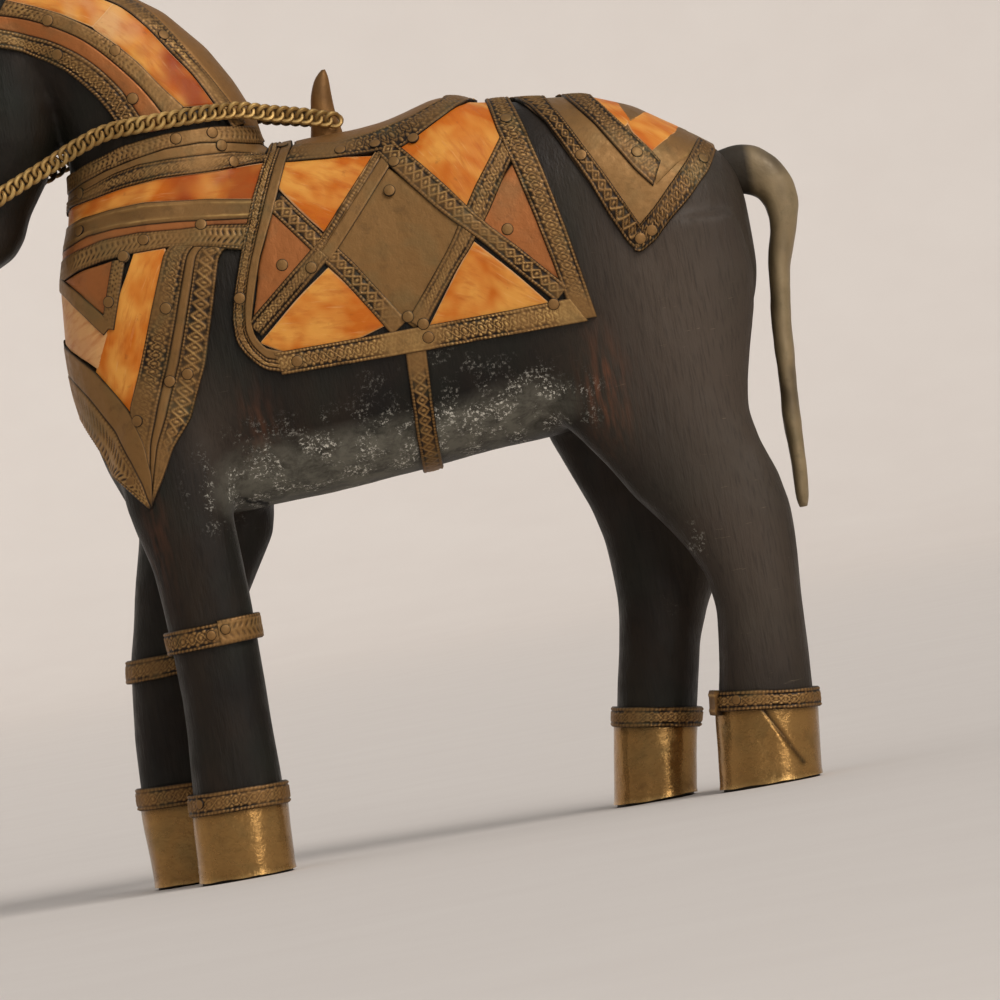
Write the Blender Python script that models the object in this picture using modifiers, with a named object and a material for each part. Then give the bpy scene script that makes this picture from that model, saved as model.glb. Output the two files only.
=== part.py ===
"""Carved wooden horse clad in sheet brass, copper and bone, standing on its four hooves.

The horse looks along -X, its left side is -Y, the ground is z = 0 and the origin lies under the middle.
Tables are in millimetres, and every mesh is made in metres.
"""

from math import copysign, cos, pi, radians, sin

import bmesh
import bpy
from mathutils import Vector
from mathutils.bvhtree import BVHTree

MM = 0.001
SECTION_COUNT = 28          # points round each carved section
BRASS_COUNT = 12            # points round the horn and the tail
SHAPE_VOXEL = 1.6           # grain of the joined body before it is simplified
SHAPE_SMOOTHING = 6         # passes that blend the legs and the neck into the barrel
BODY_TRIANGLES = 2000
SEAM = 0.3                  # gap between neighbouring pieces
LIFT = 0.4                  # gap between the wood and its cladding
SHEET = 0.8                 # thickness of brass and copper sheet
BONE = 0.9                  # thickness of the bone tiles
BAND = 1.4                  # thickness of an embossed leg band
CUT_REACH = 60.0            # how far an outline is extruded to each side
FOOT_DEPTH = 8.0            # leg length carved below the ground before the feet are cut flat
CAP_LIFT = 0.4              # hoof caps end this far above the soles
BARREL_HALF = 27.0          # half width of the barrel
LEG_HALF = 9.8              # half thickness of a leg
LEG_INSET = 1.8             # the legs' outer faces lie this far inside the widest part of the barrel
LEG_Y = BARREL_HALF - LEG_INSET - LEG_HALF

# Barrel: x, underside z, top z, half width as a share of BARREL_HALF.
BARREL = (
    (-76.5, 121.0, 134.0, 0.20), (-75.2, 112.0, 147.0, 0.44), (-72.6, 101.0, 157.0, 0.62),
    (-68.6, 90.0, 164.0, 0.76), (-62.0, 86.4, 168.0, 0.86), (-52.0, 86.2, 170.0, 0.93),
    (-38.0, 86.4, 170.4, 0.98), (-20.0, 87.0, 170.5, 1.00), (-10.0, 87.7, 170.9, 1.00),
    (0.0, 88.4, 170.9, 1.00), (8.0, 89.1, 171.7, 1.00), (14.0, 89.8, 173.2, 1.00),
    (20.0, 90.2, 174.9, 1.00), (25.0, 90.4, 174.5, 0.99), (29.0, 90.6, 172.4, 0.99),
    (36.0, 91.0, 171.9, 0.98), (46.0, 93.0, 170.5, 0.97), (55.0, 95.0, 169.5, 0.96),
    (61.0, 97.0, 167.1, 0.95), (66.0, 99.0, 165.0, 0.93), (72.0, 101.0, 160.9, 0.88),
    (80.0, 105.0, 155.4, 0.78), (85.0, 110.0, 151.6, 0.62), (88.0, 117.0, 146.0, 0.44),
    (89.2, 122.0, 140.0, 0.24),
)
BARREL_POWER = 2.7
# Neck: crest x and z, throat x and z, half width as a share of BARREL_HALF.
NECK = (
    (-24.0, 150.0, -73.6, 148.0, 0.833), (-22.2, 164.0, -71.4, 160.0, 0.759),
    (-22.5, 171.5, -69.2, 170.5, 0.719), (-23.4, 179.0, -68.8, 179.0, 0.674),
    (-27.2, 188.0, -71.0, 188.0, 0.622), (-32.2, 197.0, -75.0, 195.0, 0.585),
    (-40.6, 207.0, -78.0, 199.0, 0.548), (-53.5, 216.4, -79.0, 201.0, 0.511),
    (-66.0, 221.0, -80.0, 203.0, 0.474), (-78.0, 222.4, -83.0, 204.0, 0.430),
)
NECK_POWER = 2.3
# Head: forehead x and z, jaw x and z, half width as a share of BARREL_HALF.
HEAD = (
    (-80.0, 223.5, -66.5, 215.0, 0.356), (-88.0, 219.5, -66.5, 205.0, 0.459),
    (-94.0, 209.5, -67.5, 196.0, 0.504), (-98.0, 198.5, -68.8, 188.0, 0.533),
    (-100.2, 187.5, -70.4, 180.5, 0.526), (-101.6, 177.5, -75.0, 172.5, 0.459),
    (-102.3, 168.0, -80.2, 165.0, 0.400), (-102.2, 161.0, -82.6, 159.6, 0.378),
    (-100.7, 155.0, -85.6, 156.0, 0.326), (-97.0, 151.6, -90.4, 153.6, 0.207),
)
HEAD_POWER = 2.3
# Ear: front x and z, back x and z, half width as a share of BARREL_HALF.
EAR = (
    (-89.6, 214.0, -78.6, 216.0, 0.137), (-88.6, 223.0, -79.0, 223.4, 0.130),
    (-87.2, 229.6, -80.6, 229.4, 0.100), (-84.9, 235.6, -82.5, 235.6, 0.052),
)
EAR_Y = 0.25 * BARREL_HALF
# Legs: z, front x, back x. The left pair stands further back than the right pair does.
FRONT_LEFT = (
    (118.0, -66.0, -42.0), (102.0, -70.0, -42.6), (92.0, -69.4, -43.8), (85.5, -68.2, -44.7),
    (76.0, -65.8, -44.2), (67.0, -65.0, -44.0), (45.0, -64.4, -44.2), (36.0, -64.7, -44.3),
    (22.0, -65.9, -44.3), (16.0, -66.6, -44.6), (0.0, -67.5, -45.5),
)
FRONT_RIGHT = (
    (118.0, -66.0, -36.0), (102.0, -70.0, -35.0), (92.0, -69.4, -34.8), (85.0, -68.7, -35.4),
    (80.0, -70.0, -36.6), (75.5, -71.2, -39.5), (71.0, -72.3, -42.4), (64.0, -73.9, -46.5),
    (56.0, -76.0, -50.5), (46.0, -77.4, -54.2), (36.0, -78.5, -56.8), (24.0, -79.2, -57.4),
    (16.0, -79.4, -56.8), (0.0, -79.2, -56.8),
)
HIND_LEFT = (
    (136.0, 44.0, 86.0), (122.0, 36.5, 88.0), (113.0, 33.0, 86.6), (104.0, 32.6, 84.0),
    (95.4, 34.9, 81.9), (89.0, 40.0, 80.9), (81.6, 45.2, 82.2), (73.2, 50.2, 85.2),
    (64.8, 56.7, 86.6), (58.6, 60.6, 86.6), (51.7, 63.7, 86.2), (43.3, 64.8, 85.4),
    (36.4, 64.0, 85.0), (29.5, 62.9, 84.7), (23.0, 61.6, 84.3), (16.0, 60.6, 83.9),
    (0.0, 58.7, 82.1),
)
HIND_RIGHT = (
    (136.0, 44.0, 86.0), (122.0, 36.5, 88.0), (113.0, 33.0, 86.6), (104.0, 31.6, 84.0),
    (90.4, 33.0, 81.0), (82.4, 36.0, 79.0), (72.4, 39.9, 76.5), (64.0, 41.8, 73.5),
    (56.3, 42.2, 70.0), (49.4, 42.3, 66.5), (44.8, 41.8, 63.7), (36.4, 40.3, 60.2),
    (30.0, 38.8, 58.8), (22.0, 37.2, 57.0), (16.0, 36.1, 55.3), (0.0, 33.2, 52.1),
)
LEG_POWER = 2.6
TAIL_POWER = 2.4
# Tail: outer x and z, inner x and z, half width.
TAIL = (
    (84.0, 151.4, 84.0, 141.6, 4.0), (89.0, 152.0, 89.4, 140.0, 4.5), (93.5, 151.3, 92.4, 138.4, 5.0),
    (98.2, 147.6, 93.6, 136.2, 5.4), (101.3, 141.5, 93.9, 133.2, 5.4),
    (101.9, 136.0, 93.5, 129.5, 5.2), (99.8, 128.7, 92.7, 125.6, 4.9),
    (96.7, 120.0, 91.7, 119.4, 4.5), (95.0, 108.0, 90.2, 108.0, 4.2),
    (93.4, 88.0, 89.0, 88.0, 3.9), (92.6, 75.0, 88.9, 75.0, 3.6), (90.9, 64.2, 89.0, 64.2, 2.8),
)
HORN = (
    (-10.7, 172.6, -3.0, 172.6, 3.8), (-10.2, 174.2, -3.4, 174.2, 3.4),
    (-9.7, 177.0, -3.9, 177.0, 2.8), (-9.0, 182.0, -4.0, 182.0, 2.4),
    (-7.3, 185.7, -4.0, 185.7, 1.6), (-5.4, 187.3, -4.4, 187.3, 0.6),
)

CLOTH_HEM_Z = 116.3         # lower edge of the saddle cloth

# Side outlines, x and z. The four edges of the cloth are shared by the frame and its tiles.
CLOTH = (
    (-14.6, 178.0), (-15.2, 173.8), (-18.4, 173.0), (-20.6, 171.8), (-20.7, 170.0), (-23.3, 165.3), (-26.7, 158.7), (-30.0, 150.7),
    (-32.7, 143.3), (-35.0, 136.7), (-36.3, 131.3), (-36.3, 126.0), (-34.3, 122.0),
    (-30.7, 118.3), (-25.3, 116.7), (-10.0, CLOTH_HEM_Z), (26.7, CLOTH_HEM_Z), (46.0, CLOTH_HEM_Z),
    (49.0, 117.7), (47.3, 128.0), (45.3, 140.0), (42.7, 152.7), (40.0, 164.0),
    (36.9, 172.0), (36.9, 178.0),
)
SEAT = (
    (-13.0, 180.0), (-13.4, 172.0), (-14.7, 169.3), (-4.7, 168.0), (3.3, 168.7), (13.3, 170.7),
    (20.7, 173.2), (24.6, 173.8), (24.6, 180.0),
)
SADDLE_BONES = (
    ((-17.3, 165.7), (2.7, 163.3), (-10.0, 147.3), (-19.7, 160.7)),
    ((10.7, 164.3), (20.0, 169.3), (28.0, 172.4), (31.7, 171.6), (33.3, 165.3),
     (33.3, 161.3), (22.7, 147.3)),
    ((-12.0, 138.7), (-1.3, 124.0), (-10.0, 122.7), (-18.0, 122.0), (-24.7, 122.7),
     (-30.0, 125.0)),
    ((23.0, 137.7), (36.7, 123.0), (10.7, 122.3)),
)
SADDLE_COPPERS = (
    ((-22.3, 152.7), (-15.7, 143.3), (-30.7, 132.3)),
    ((36.0, 151.3), (41.0, 130.0), (26.7, 143.7)),
)
COLLAR_TOP = (
    (-84.0, 163.0), (-72.0, 171.4), (-64.0, 174.4), (-55.0, 177.0), (-45.0, 178.0),
    (-33.6, 177.8), (-23.0, 176.3), (-15.0, 176.2),
)
COLLAR_BACK = ((-15.0, 174.6), (-18.6, 173.8), (-21.2, 172.4), (-22.4, 170.0), (-23.4, 167.8))
COLLAR_C = (
    (-84.0, 160.0), (-69.4, 165.0), (-64.0, 165.8), (-56.7, 167.0), (-47.8, 167.7),
    (-37.0, 167.3), (-25.2, 167.3),
)
COLLAR_D = (
    (-84.0, 154.0), (-72.4, 160.0), (-67.0, 161.7), (-59.7, 162.5), (-52.3, 162.7),
    (-44.8, 161.7), (-37.3, 160.6), (-28.9, 159.0),
)
COLLAR_G = (
    (-84.0, 141.0), (-74.7, 147.5), (-70.0, 149.4), (-64.0, 150.5), (-56.7, 151.0),
    (-49.3, 151.0), (-41.0, 149.8), (-34.3, 148.0),
)
COLLAR_COPPER = (
    (-70.0, 155.6), (-63.5, 157.2), (-55.0, 157.2), (-44.8, 156.2), (-44.8, 154.6),
    (-55.0, 155.6), (-63.5, 155.4), (-70.0, 154.0),
)
DROP_EDGE = (
    (-37.3, 148.6), (-40.3, 135.0), (-44.5, 122.0), (-50.3, 110.0), (-55.5, 104.0),
    (-59.3, 97.0), (-63.0, 90.5), (-65.5, 93.5), (-70.0, 100.0), (-74.5, 111.5),
    (-84.0, 128.0),
)
DROP_BONES = (
    ((-84.0, 150.0), (-75.4, 145.5), (-66.4, 133.6), (-69.8, 126.4), (-73.7, 130.2),
     (-77.0, 136.0), (-84.0, 142.0)),
    ((-56.8, 149.6), (-49.5, 149.8), (-63.7, 114.8), (-69.7, 125.4)),
)
DROP_COPPER = ((-71.3, 147.6), (-63.1, 149.0), (-66.6, 142.0))
# Neck cladding: the lines that part the rows, from the crest inward.
ROW_1 = (
    (-31.0, 178.0), (-32.1, 183.0), (-35.8, 190.5), (-40.3, 197.0), (-44.8, 204.0),
    (-50.0, 210.0), (-56.0, 213.6), (-66.0, 218.0), (-76.0, 220.3),
)
ROW_2 = (
    (-36.6, 178.0), (-39.2, 183.7), (-44.0, 189.7), (-47.8, 195.7), (-52.3, 201.0),
    (-57.0, 205.6), (-64.0, 210.6), (-70.0, 213.6), (-76.4, 216.4),
)
ROW_3 = (
    (-42.0, 178.0), (-44.8, 184.0), (-48.5, 190.5), (-52.3, 195.3), (-56.7, 200.6),
    (-61.0, 204.7), (-67.0, 208.4), (-73.0, 211.4), (-80.0, 213.2),
)
ROW_4 = (
    (-47.6, 178.0), (-50.4, 185.0), (-53.0, 190.5), (-56.7, 195.7), (-61.0, 200.2),
    (-67.0, 204.7), (-73.0, 207.6), (-80.0, 209.9),
)
ROW_5 = (
    (-53.4, 177.6), (-55.6, 183.4), (-58.2, 188.6), (-61.2, 192.7), (-65.0, 197.2),
    (-69.4, 200.6), (-74.7, 203.5), (-80.3, 205.4),
)
ROW_END = (-76.4, 216.4)
CREST_TOP = ((-76.4, 230.0), (-14.0, 230.0))
CREST_FOOT = ((-14.0, 176.8), (-23.0, 176.9), (-33.6, 178.2), (-36.6, 178.3))
BONE_END_Z = 183.2
BONE_JOINT = ((-57.4, 206.0), (-51.6, 210.9))
# Crupper over the rump.
CRUPPER = (
    (38.2, 178.0), (38.2, 171.4), (42.0, 168.0), (45.3, 164.0), (48.7, 157.3), (52.7, 148.7),
    (56.0, 140.0), (59.3, 132.7), (61.7, 130.0), (66.0, 132.3), (70.0, 136.0), (76.0, 141.3),
    (80.7, 146.0), (84.0, 150.4), (84.6, 160.0), (60.0, 178.0),
)
CRUPPER_BONES = (
    ((54.0, 176.0), (62.0, 172.0), (64.3, 161.6), (62.7, 160.7)),
    ((65.2, 161.2), (70.0, 162.2), (76.6, 162.6), (76.7, 158.6), (68.7, 153.8)),
)
RIDGE_HALF = 1.6
GIRTH_TOP_Z = CLOTH_HEM_Z - SEAM
GIRTH = (
    (2.7, GIRTH_TOP_Z), (7.7, GIRTH_TOP_Z), (6.7, 96.0), (6.3, 80.0), (1.3, 80.0), (1.7, 96.0),
)
FACE_PLATE = (
    (-108.0, 172.0), (-100.5, 173.0), (-96.8, 187.0), (-94.0, 198.0), (-91.0, 206.5),
    (-108.0, 214.0),
)
BOSS_CENTRE = (-93.2, 166.6)
BOSS_RADIUS = 3.4
BOSS_THICK = 1.2
CHAIN_PATH = (
    (-4.6, 174.8), (-12.0, 177.0), (-20.0, 179.0), (-26.0, 180.8), (-34.0, 181.2),
    (-45.0, 181.2), (-55.0, 181.2), (-60.0, 180.6), (-66.5, 178.4), (-73.0, 175.6),
    (-80.0, 172.9), (-86.0, 170.5), (-88.8, 168.9),
)
CHAIN_WIDE = 3.0
CHAIN_THICK = 1.8
CHAIN_START_Y = 5.2
TAUT_PASSES = 400
FLAT_ENOUGH = radians(4.0)  # facets of the cladding that meet at less than this are joined
LEG_FLAT_ENOUGH = radians(5.0)  # the same for caps and bands round the legs

# Leg bands and caps: lowest and highest z at the front edge, the fall towards the back, x from and to.
LEG_TRIM = {
    "front_left": (15.6, 21.8, 0.3, -76.0, -38.0, -1.0),
    "front_right": (19.3, 24.7, 1.6, -90.0, -50.0, 1.0),
    "hind_left": (18.4, 24.0, 2.4, 54.0, 92.0, -1.0),
    "hind_right": (17.6, 23.8, 2.8, 26.0, 58.6, 1.0),
}
KNEE_LEFT = ((-72.0, 55.4), (-72.0, 61.0), (-38.0, 62.0), (-38.0, 56.0))
KNEE_RIGHT = ((-84.0, 49.4), (-84.0, 55.2), (-44.0, 56.6), (-44.0, 50.6))

LOOKS = {
    "wood": ((0.035, 0.028, 0.022), 0.62, 0.0),
    "brass": ((0.30, 0.20, 0.075), 0.42, 1.0),
    "hoof_brass": ((0.55, 0.36, 0.11), 0.28, 1.0),
    "copper": ((0.42, 0.19, 0.095), 0.40, 1.0),
    "bone": ((0.78, 0.42, 0.16), 0.45, 0.0),
    "chain": ((0.36, 0.27, 0.12), 0.38, 1.0),
}


def clear_scene():
    for obj in list(bpy.data.objects):
        bpy.data.objects.remove(obj, do_unlink=True)


def new_collection(name):
    made = bpy.data.collections.new(name)
    bpy.context.scene.collection.children.link(made)
    return made


def from_bmesh(bm, name, collection):
    bmesh.ops.recalc_face_normals(bm, faces=bm.faces)
    mesh = bpy.data.meshes.new(name)
    bm.to_mesh(mesh)
    bm.free()
    obj = bpy.data.objects.new(name, mesh)
    collection.objects.link(obj)
    return obj


def loft_into(bm, rows, power, y_centre, points=SECTION_COUNT):
    """Closed loft through sections, each given by two profile points (x, z) and a half width."""
    rings = []
    for x_a, z_a, x_b, z_b, half in rows:
        ring = []
        for i in range(points):
            turn = 2.0 * pi * i / points
            along = copysign(abs(cos(turn)) ** (2.0 / power), cos(turn))
            across = copysign(abs(sin(turn)) ** (2.0 / power), sin(turn))
            share = 0.5 - 0.5 * along
            spot = Vector((x_a + (x_b - x_a) * share, y_centre + half * across, z_a + (z_b - z_a) * share))
            ring.append(bm.verts.new(spot * MM))
        rings.append(ring)
    for lower, upper in zip(rings, rings[1:]):
        for i in range(points):
            j = (i + 1) % points
            bm.faces.new((lower[i], lower[j], upper[j], upper[i]))
    bm.faces.new(rings[0])
    bm.faces.new(rings[-1])


def loft(name, rows, power, y_centre, collection, points=SECTION_COUNT):
    bm = bmesh.new()
    loft_into(bm, rows, power, y_centre, points)
    return from_bmesh(bm, name, collection)


def baked(obj):
    """The object with its modifiers applied."""
    graph = bpy.context.evaluated_depsgraph_get()
    graph.update()
    mesh = bpy.data.meshes.new_from_object(obj.evaluated_get(graph))
    obj.modifiers.clear()
    obj.data = mesh
    return obj


def boolean(obj, other, operation):
    modifier = obj.modifiers.new(operation.lower(), "BOOLEAN")
    modifier.operation = operation
    modifier.solver = "EXACT"
    modifier.object = other
    return baked(obj)


def widened(rows):
    """Sections whose last number is a share of the barrel's half width, in millimetres."""
    return [row[:4] + (row[4] * BARREL_HALF,) for row in rows]


def leg_rows(table, half):
    """Leg sections, carried on below the ground so that the sole can be cut flat."""
    rows = [(front, z, back, z, half) for z, front, back in table]
    low = rows[-1]
    rows.append((low[0], low[1] - FOOT_DEPTH, low[2], low[3] - FOOT_DEPTH, half))
    return rows


def carve_body(helpers, parts):
    bm = bmesh.new()
    barrel = [(x, top, x, low, share * BARREL_HALF) for x, low, top, share in BARREL]
    loft_into(bm, barrel, BARREL_POWER, 0.0)
    loft_into(bm, widened(NECK), NECK_POWER, 0.0)
    loft_into(bm, widened(HEAD), HEAD_POWER, 0.0)
    for side in (-1.0, 1.0):
        loft_into(bm, widened(EAR), 2.0, side * EAR_Y)
    for table, side in ((FRONT_LEFT, -1.0), (FRONT_RIGHT, 1.0), (HIND_LEFT, -1.0), (HIND_RIGHT, 1.0)):
        loft_into(bm, leg_rows(table, LEG_HALF), LEG_POWER, side * LEG_Y)
    body = from_bmesh(bm, "wooden_body", parts)
    grain = body.modifiers.new("join", "REMESH")
    grain.mode = "VOXEL"
    grain.voxel_size = SHAPE_VOXEL * MM
    soft = body.modifiers.new("blend", "SMOOTH")
    soft.factor = 0.5
    soft.iterations = SHAPE_SMOOTHING
    baked(body)
    fewer = body.modifiers.new("fewer", "DECIMATE")
    fewer.ratio = BODY_TRIANGLES / sum(len(face.vertices) - 2 for face in body.data.polygons)
    fewer.use_collapse_triangulate = True
    baked(body)
    bm = bmesh.new()
    bm.from_mesh(body.data)
    everything = list(bm.verts) + list(bm.edges) + list(bm.faces)
    bmesh.ops.bisect_plane(
        bm, geom=everything, dist=1e-7, plane_co=(0, 0, 0), plane_no=(0, 0, -1), clear_outer=True
    )
    bmesh.ops.holes_fill(bm, edges=[edge for edge in bm.edges if edge.is_boundary])
    bmesh.ops.triangulate(bm, faces=bm.faces)
    bmesh.ops.recalc_face_normals(bm, faces=bm.faces)
    bm.to_mesh(body.data)
    bm.free()
    return body


def grown(body, distance, helpers):
    """A copy of the body whose surface lies `distance` outside it."""
    bm = bmesh.new()
    bm.from_mesh(body.data)
    bm.normal_update()
    moved = []
    for vert in bm.verts:
        normals = [face.normal for face in vert.link_faces]
        lead = vert.normal
        least = min(max(lead.dot(normal), 0.35) for normal in normals)
        moved.append(vert.co + lead * (distance * MM / least))
    for vert, spot in zip(bm.verts, moved):
        vert.co = spot
    return from_bmesh(bm, "grown", helpers)


def inset(outline, amount):
    """The polygon drawn in by `amount` on every edge."""
    points = [Vector(p) for p in outline]
    area = sum(a.x * b.y - b.x * a.y for a, b in zip(points, points[1:] + points[:1]))
    sign = 1.0 if area > 0 else -1.0
    made = []
    for before, here, after in zip(points[-1:] + points[:-1], points, points[1:] + points[:1]):
        a = (here - before).normalized()
        b = (after - here).normalized()
        normal_a = Vector((-a.y, a.x)) * sign
        normal_b = Vector((-b.y, b.x)) * sign
        middle = normal_a + normal_b
        share = max(1.0 + normal_a.dot(normal_b), 0.5)
        made.append(here + middle * (amount / share))
    return made


def prism(outline, helpers, low_y=-CUT_REACH, high_y=CUT_REACH):
    """The side outline extruded across the horse."""
    bm = bmesh.new()
    ends = [[bm.verts.new((x * MM, y * MM, z * MM)) for x, z in outline] for y in (low_y, high_y)]
    count = len(outline)
    for i in range(count):
        j = (i + 1) % count
        bm.faces.new((ends[0][i], ends[0][j], ends[1][j], ends[1][i]))
    bm.faces.new(ends[0])
    bm.faces.new(ends[1])
    bmesh.ops.triangulate(bm, faces=bm.faces)
    return from_bmesh(bm, "outline", helpers)


def reach_of(side, middle=0.5 * SEAM):
    """The y range of an outline on the left side (-1), the right side (1) or both (0)."""
    if side < 0:
        return -CUT_REACH, -middle
    if side > 0:
        return middle, CUT_REACH
    return -CUT_REACH, CUT_REACH


def keep_largest(obj, flat=FLAT_ENOUGH):
    """Drops slivers that an outline leaves where it only grazes the surface."""
    bm = bmesh.new()
    bm.from_mesh(obj.data)
    bm.faces.ensure_lookup_table()
    left = set(bm.faces)
    groups = []
    while left:
        group = set()
        front = [left.pop()]
        while front:
            face = front.pop()
            group.add(face)
            for edge in face.edges:
                for near in edge.link_faces:
                    if near in left:
                        left.discard(near)
                        front.append(near)
        groups.append(group)
    groups.sort(key=lambda group: sum(face.calc_area() for face in group))
    extra = [face for group in groups[:-1] for face in group]
    bmesh.ops.delete(bm, geom=extra, context="FACES")
    loose = [vert for vert in bm.verts if not vert.link_faces]
    bmesh.ops.delete(bm, geom=loose, context="VERTS")
    bmesh.ops.dissolve_limit(bm, angle_limit=flat, verts=bm.verts, edges=bm.edges)
    bmesh.ops.dissolve_degenerate(bm, dist=1e-6, edges=bm.edges)
    bmesh.ops.triangulate(bm, faces=bm.faces)
    bm.to_mesh(obj.data)
    bm.free()
    return obj


def clad(name, outline, side, thick, cells=(), middle=0.5 * SEAM, flat=FLAT_ENOUGH, *, shells, helpers, parts):
    """A sheet piece: the outline cut from a shell round the body, less the cells that tiles fill."""
    piece = prism(inset(outline, 0.5 * SEAM), helpers, *reach_of(side, middle))
    piece.name = name
    for old in list(piece.users_collection):
        old.objects.unlink(piece)
    parts.objects.link(piece)
    boolean(piece, shells[thick], "INTERSECT")
    boolean(piece, shells[0.0], "DIFFERENCE")
    for cell, cell_side, cell_middle in cells:
        cutter = prism(inset(cell, -0.5 * SEAM), helpers, *reach_of(cell_side, cell_middle))
        boolean(piece, cutter, "DIFFERENCE")
    return keep_largest(piece, flat)


def paint(obj, look):
    material = bpy.data.materials.new(obj.name)
    material.use_nodes = True
    shader = material.node_tree.nodes["Principled BSDF"]
    colour, rough, metal = LOOKS[look]
    shader.inputs["Base Color"].default_value = (*colour, 1.0)
    shader.inputs["Roughness"].default_value = rough
    shader.inputs["Metallic"].default_value = metal
    obj.data.materials.clear()
    obj.data.materials.append(material)
    return obj


def taut(contact):
    """Heights of a chain drawn tight over the heights it may touch."""
    heights = list(contact)
    for _ in range(TAUT_PASSES):
        for i in range(1, len(heights) - 1):
            heights[i] = max(contact[i], 0.5 * (heights[i - 1] + heights[i + 1]))
    return heights


def chain(name, side, skin, parts):
    """A flat run of chain from the saddle horn over the neck to the boss at the mouth."""
    tree = BVHTree.FromObject(skin, bpy.context.evaluated_depsgraph_get())
    contact = []
    for x, z in CHAIN_PATH:
        top = 0.0
        for dz in (-0.5 * CHAIN_WIDE, 0.0, 0.5 * CHAIN_WIDE):
            start = Vector((x, side * CUT_REACH, z + dz)) * MM
            hit = tree.ray_cast(start, Vector((0.0, -side, 0.0)))[0]
            if hit is not None:
                top = max(top, abs(hit.y) / MM)
        contact.append(top + 2.0 * SEAM + 0.5 * CHAIN_THICK)
    contact[0] = CHAIN_START_Y
    heights = taut(contact)
    bm = bmesh.new()
    spots = [Vector((x, side * y, z)) * MM for (x, z), y in zip(CHAIN_PATH, heights)]
    rings = []
    for i, spot in enumerate(spots):
        along = (spots[min(i + 1, len(spots) - 1)] - spots[max(i - 1, 0)]).normalized()
        out = Vector((0.0, side, 0.0))
        out = (out - along * out.dot(along)).normalized()
        wide = along.cross(out).normalized()
        half_w = 0.5 * CHAIN_WIDE * MM
        half_t = 0.5 * CHAIN_THICK * MM
        ring = [
            spot + wide * half_w, spot + out * half_t + wide * half_w * 0.6,
            spot + out * half_t - wide * half_w * 0.6, spot - wide * half_w,
            spot - out * half_t - wide * half_w * 0.6, spot - out * half_t + wide * half_w * 0.6,
        ]
        rings.append([bm.verts.new(corner) for corner in ring])
    for lower, upper in zip(rings, rings[1:]):
        for i in range(len(lower)):
            j = (i + 1) % len(lower)
            bm.faces.new((lower[i], lower[j], upper[j], upper[i]))
    bm.faces.new(rings[0])
    bm.faces.new(rings[-1])
    bmesh.ops.triangulate(bm, faces=bm.faces)
    return from_bmesh(bm, name, parts)


def boss(name, side, skin, parts):
    """A round boss at the corner of the mouth, flat against the cheek."""
    tree = BVHTree.FromObject(skin, bpy.context.evaluated_depsgraph_get())
    x, z = BOSS_CENTRE
    start = Vector((x, side * CUT_REACH, z)) * MM
    hit, normal = tree.ray_cast(start, Vector((0.0, -side, 0.0)))[:2]
    bm = bmesh.new()
    turn = normal.to_track_quat("Z", "Y").to_matrix().to_4x4()
    turn.translation = hit + normal * (0.5 * BOSS_THICK + SEAM) * MM
    bmesh.ops.create_cone(
        bm, cap_ends=True, segments=16, radius1=BOSS_RADIUS * MM, radius2=0.7 * BOSS_RADIUS * MM,
        depth=BOSS_THICK * MM, matrix=turn,
    )
    bmesh.ops.triangulate(bm, faces=bm.faces)
    return from_bmesh(bm, name, parts)


def hoof_cap(leg, shells, helpers, parts):
    """Sheet cap round a foot with the thicker band on top of it, as one piece."""
    low, high, fall, x_from, x_to, side = LEG_TRIM[leg]
    band = ((x_from, low), (x_from, high), (x_to, high - fall), (x_to, low - fall))
    cap = ((x_from, CAP_LIFT), (x_from, low + SEAM), (x_to, low - fall + SEAM), (x_to, CAP_LIFT))
    piece = prism(cap, helpers, *reach_of(side))
    piece.name = "hoof_cap_" + leg
    for old in list(piece.users_collection):
        old.objects.unlink(piece)
    parts.objects.link(piece)
    boolean(piece, shells[SHEET], "INTERSECT")
    ring = prism(band, helpers, *reach_of(side))
    boolean(ring, shells[BAND], "INTERSECT")
    boolean(piece, ring, "UNION")
    boolean(piece, shells[0.0], "DIFFERENCE")
    return keep_largest(piece, LEG_FLAT_ENOUGH)


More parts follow.
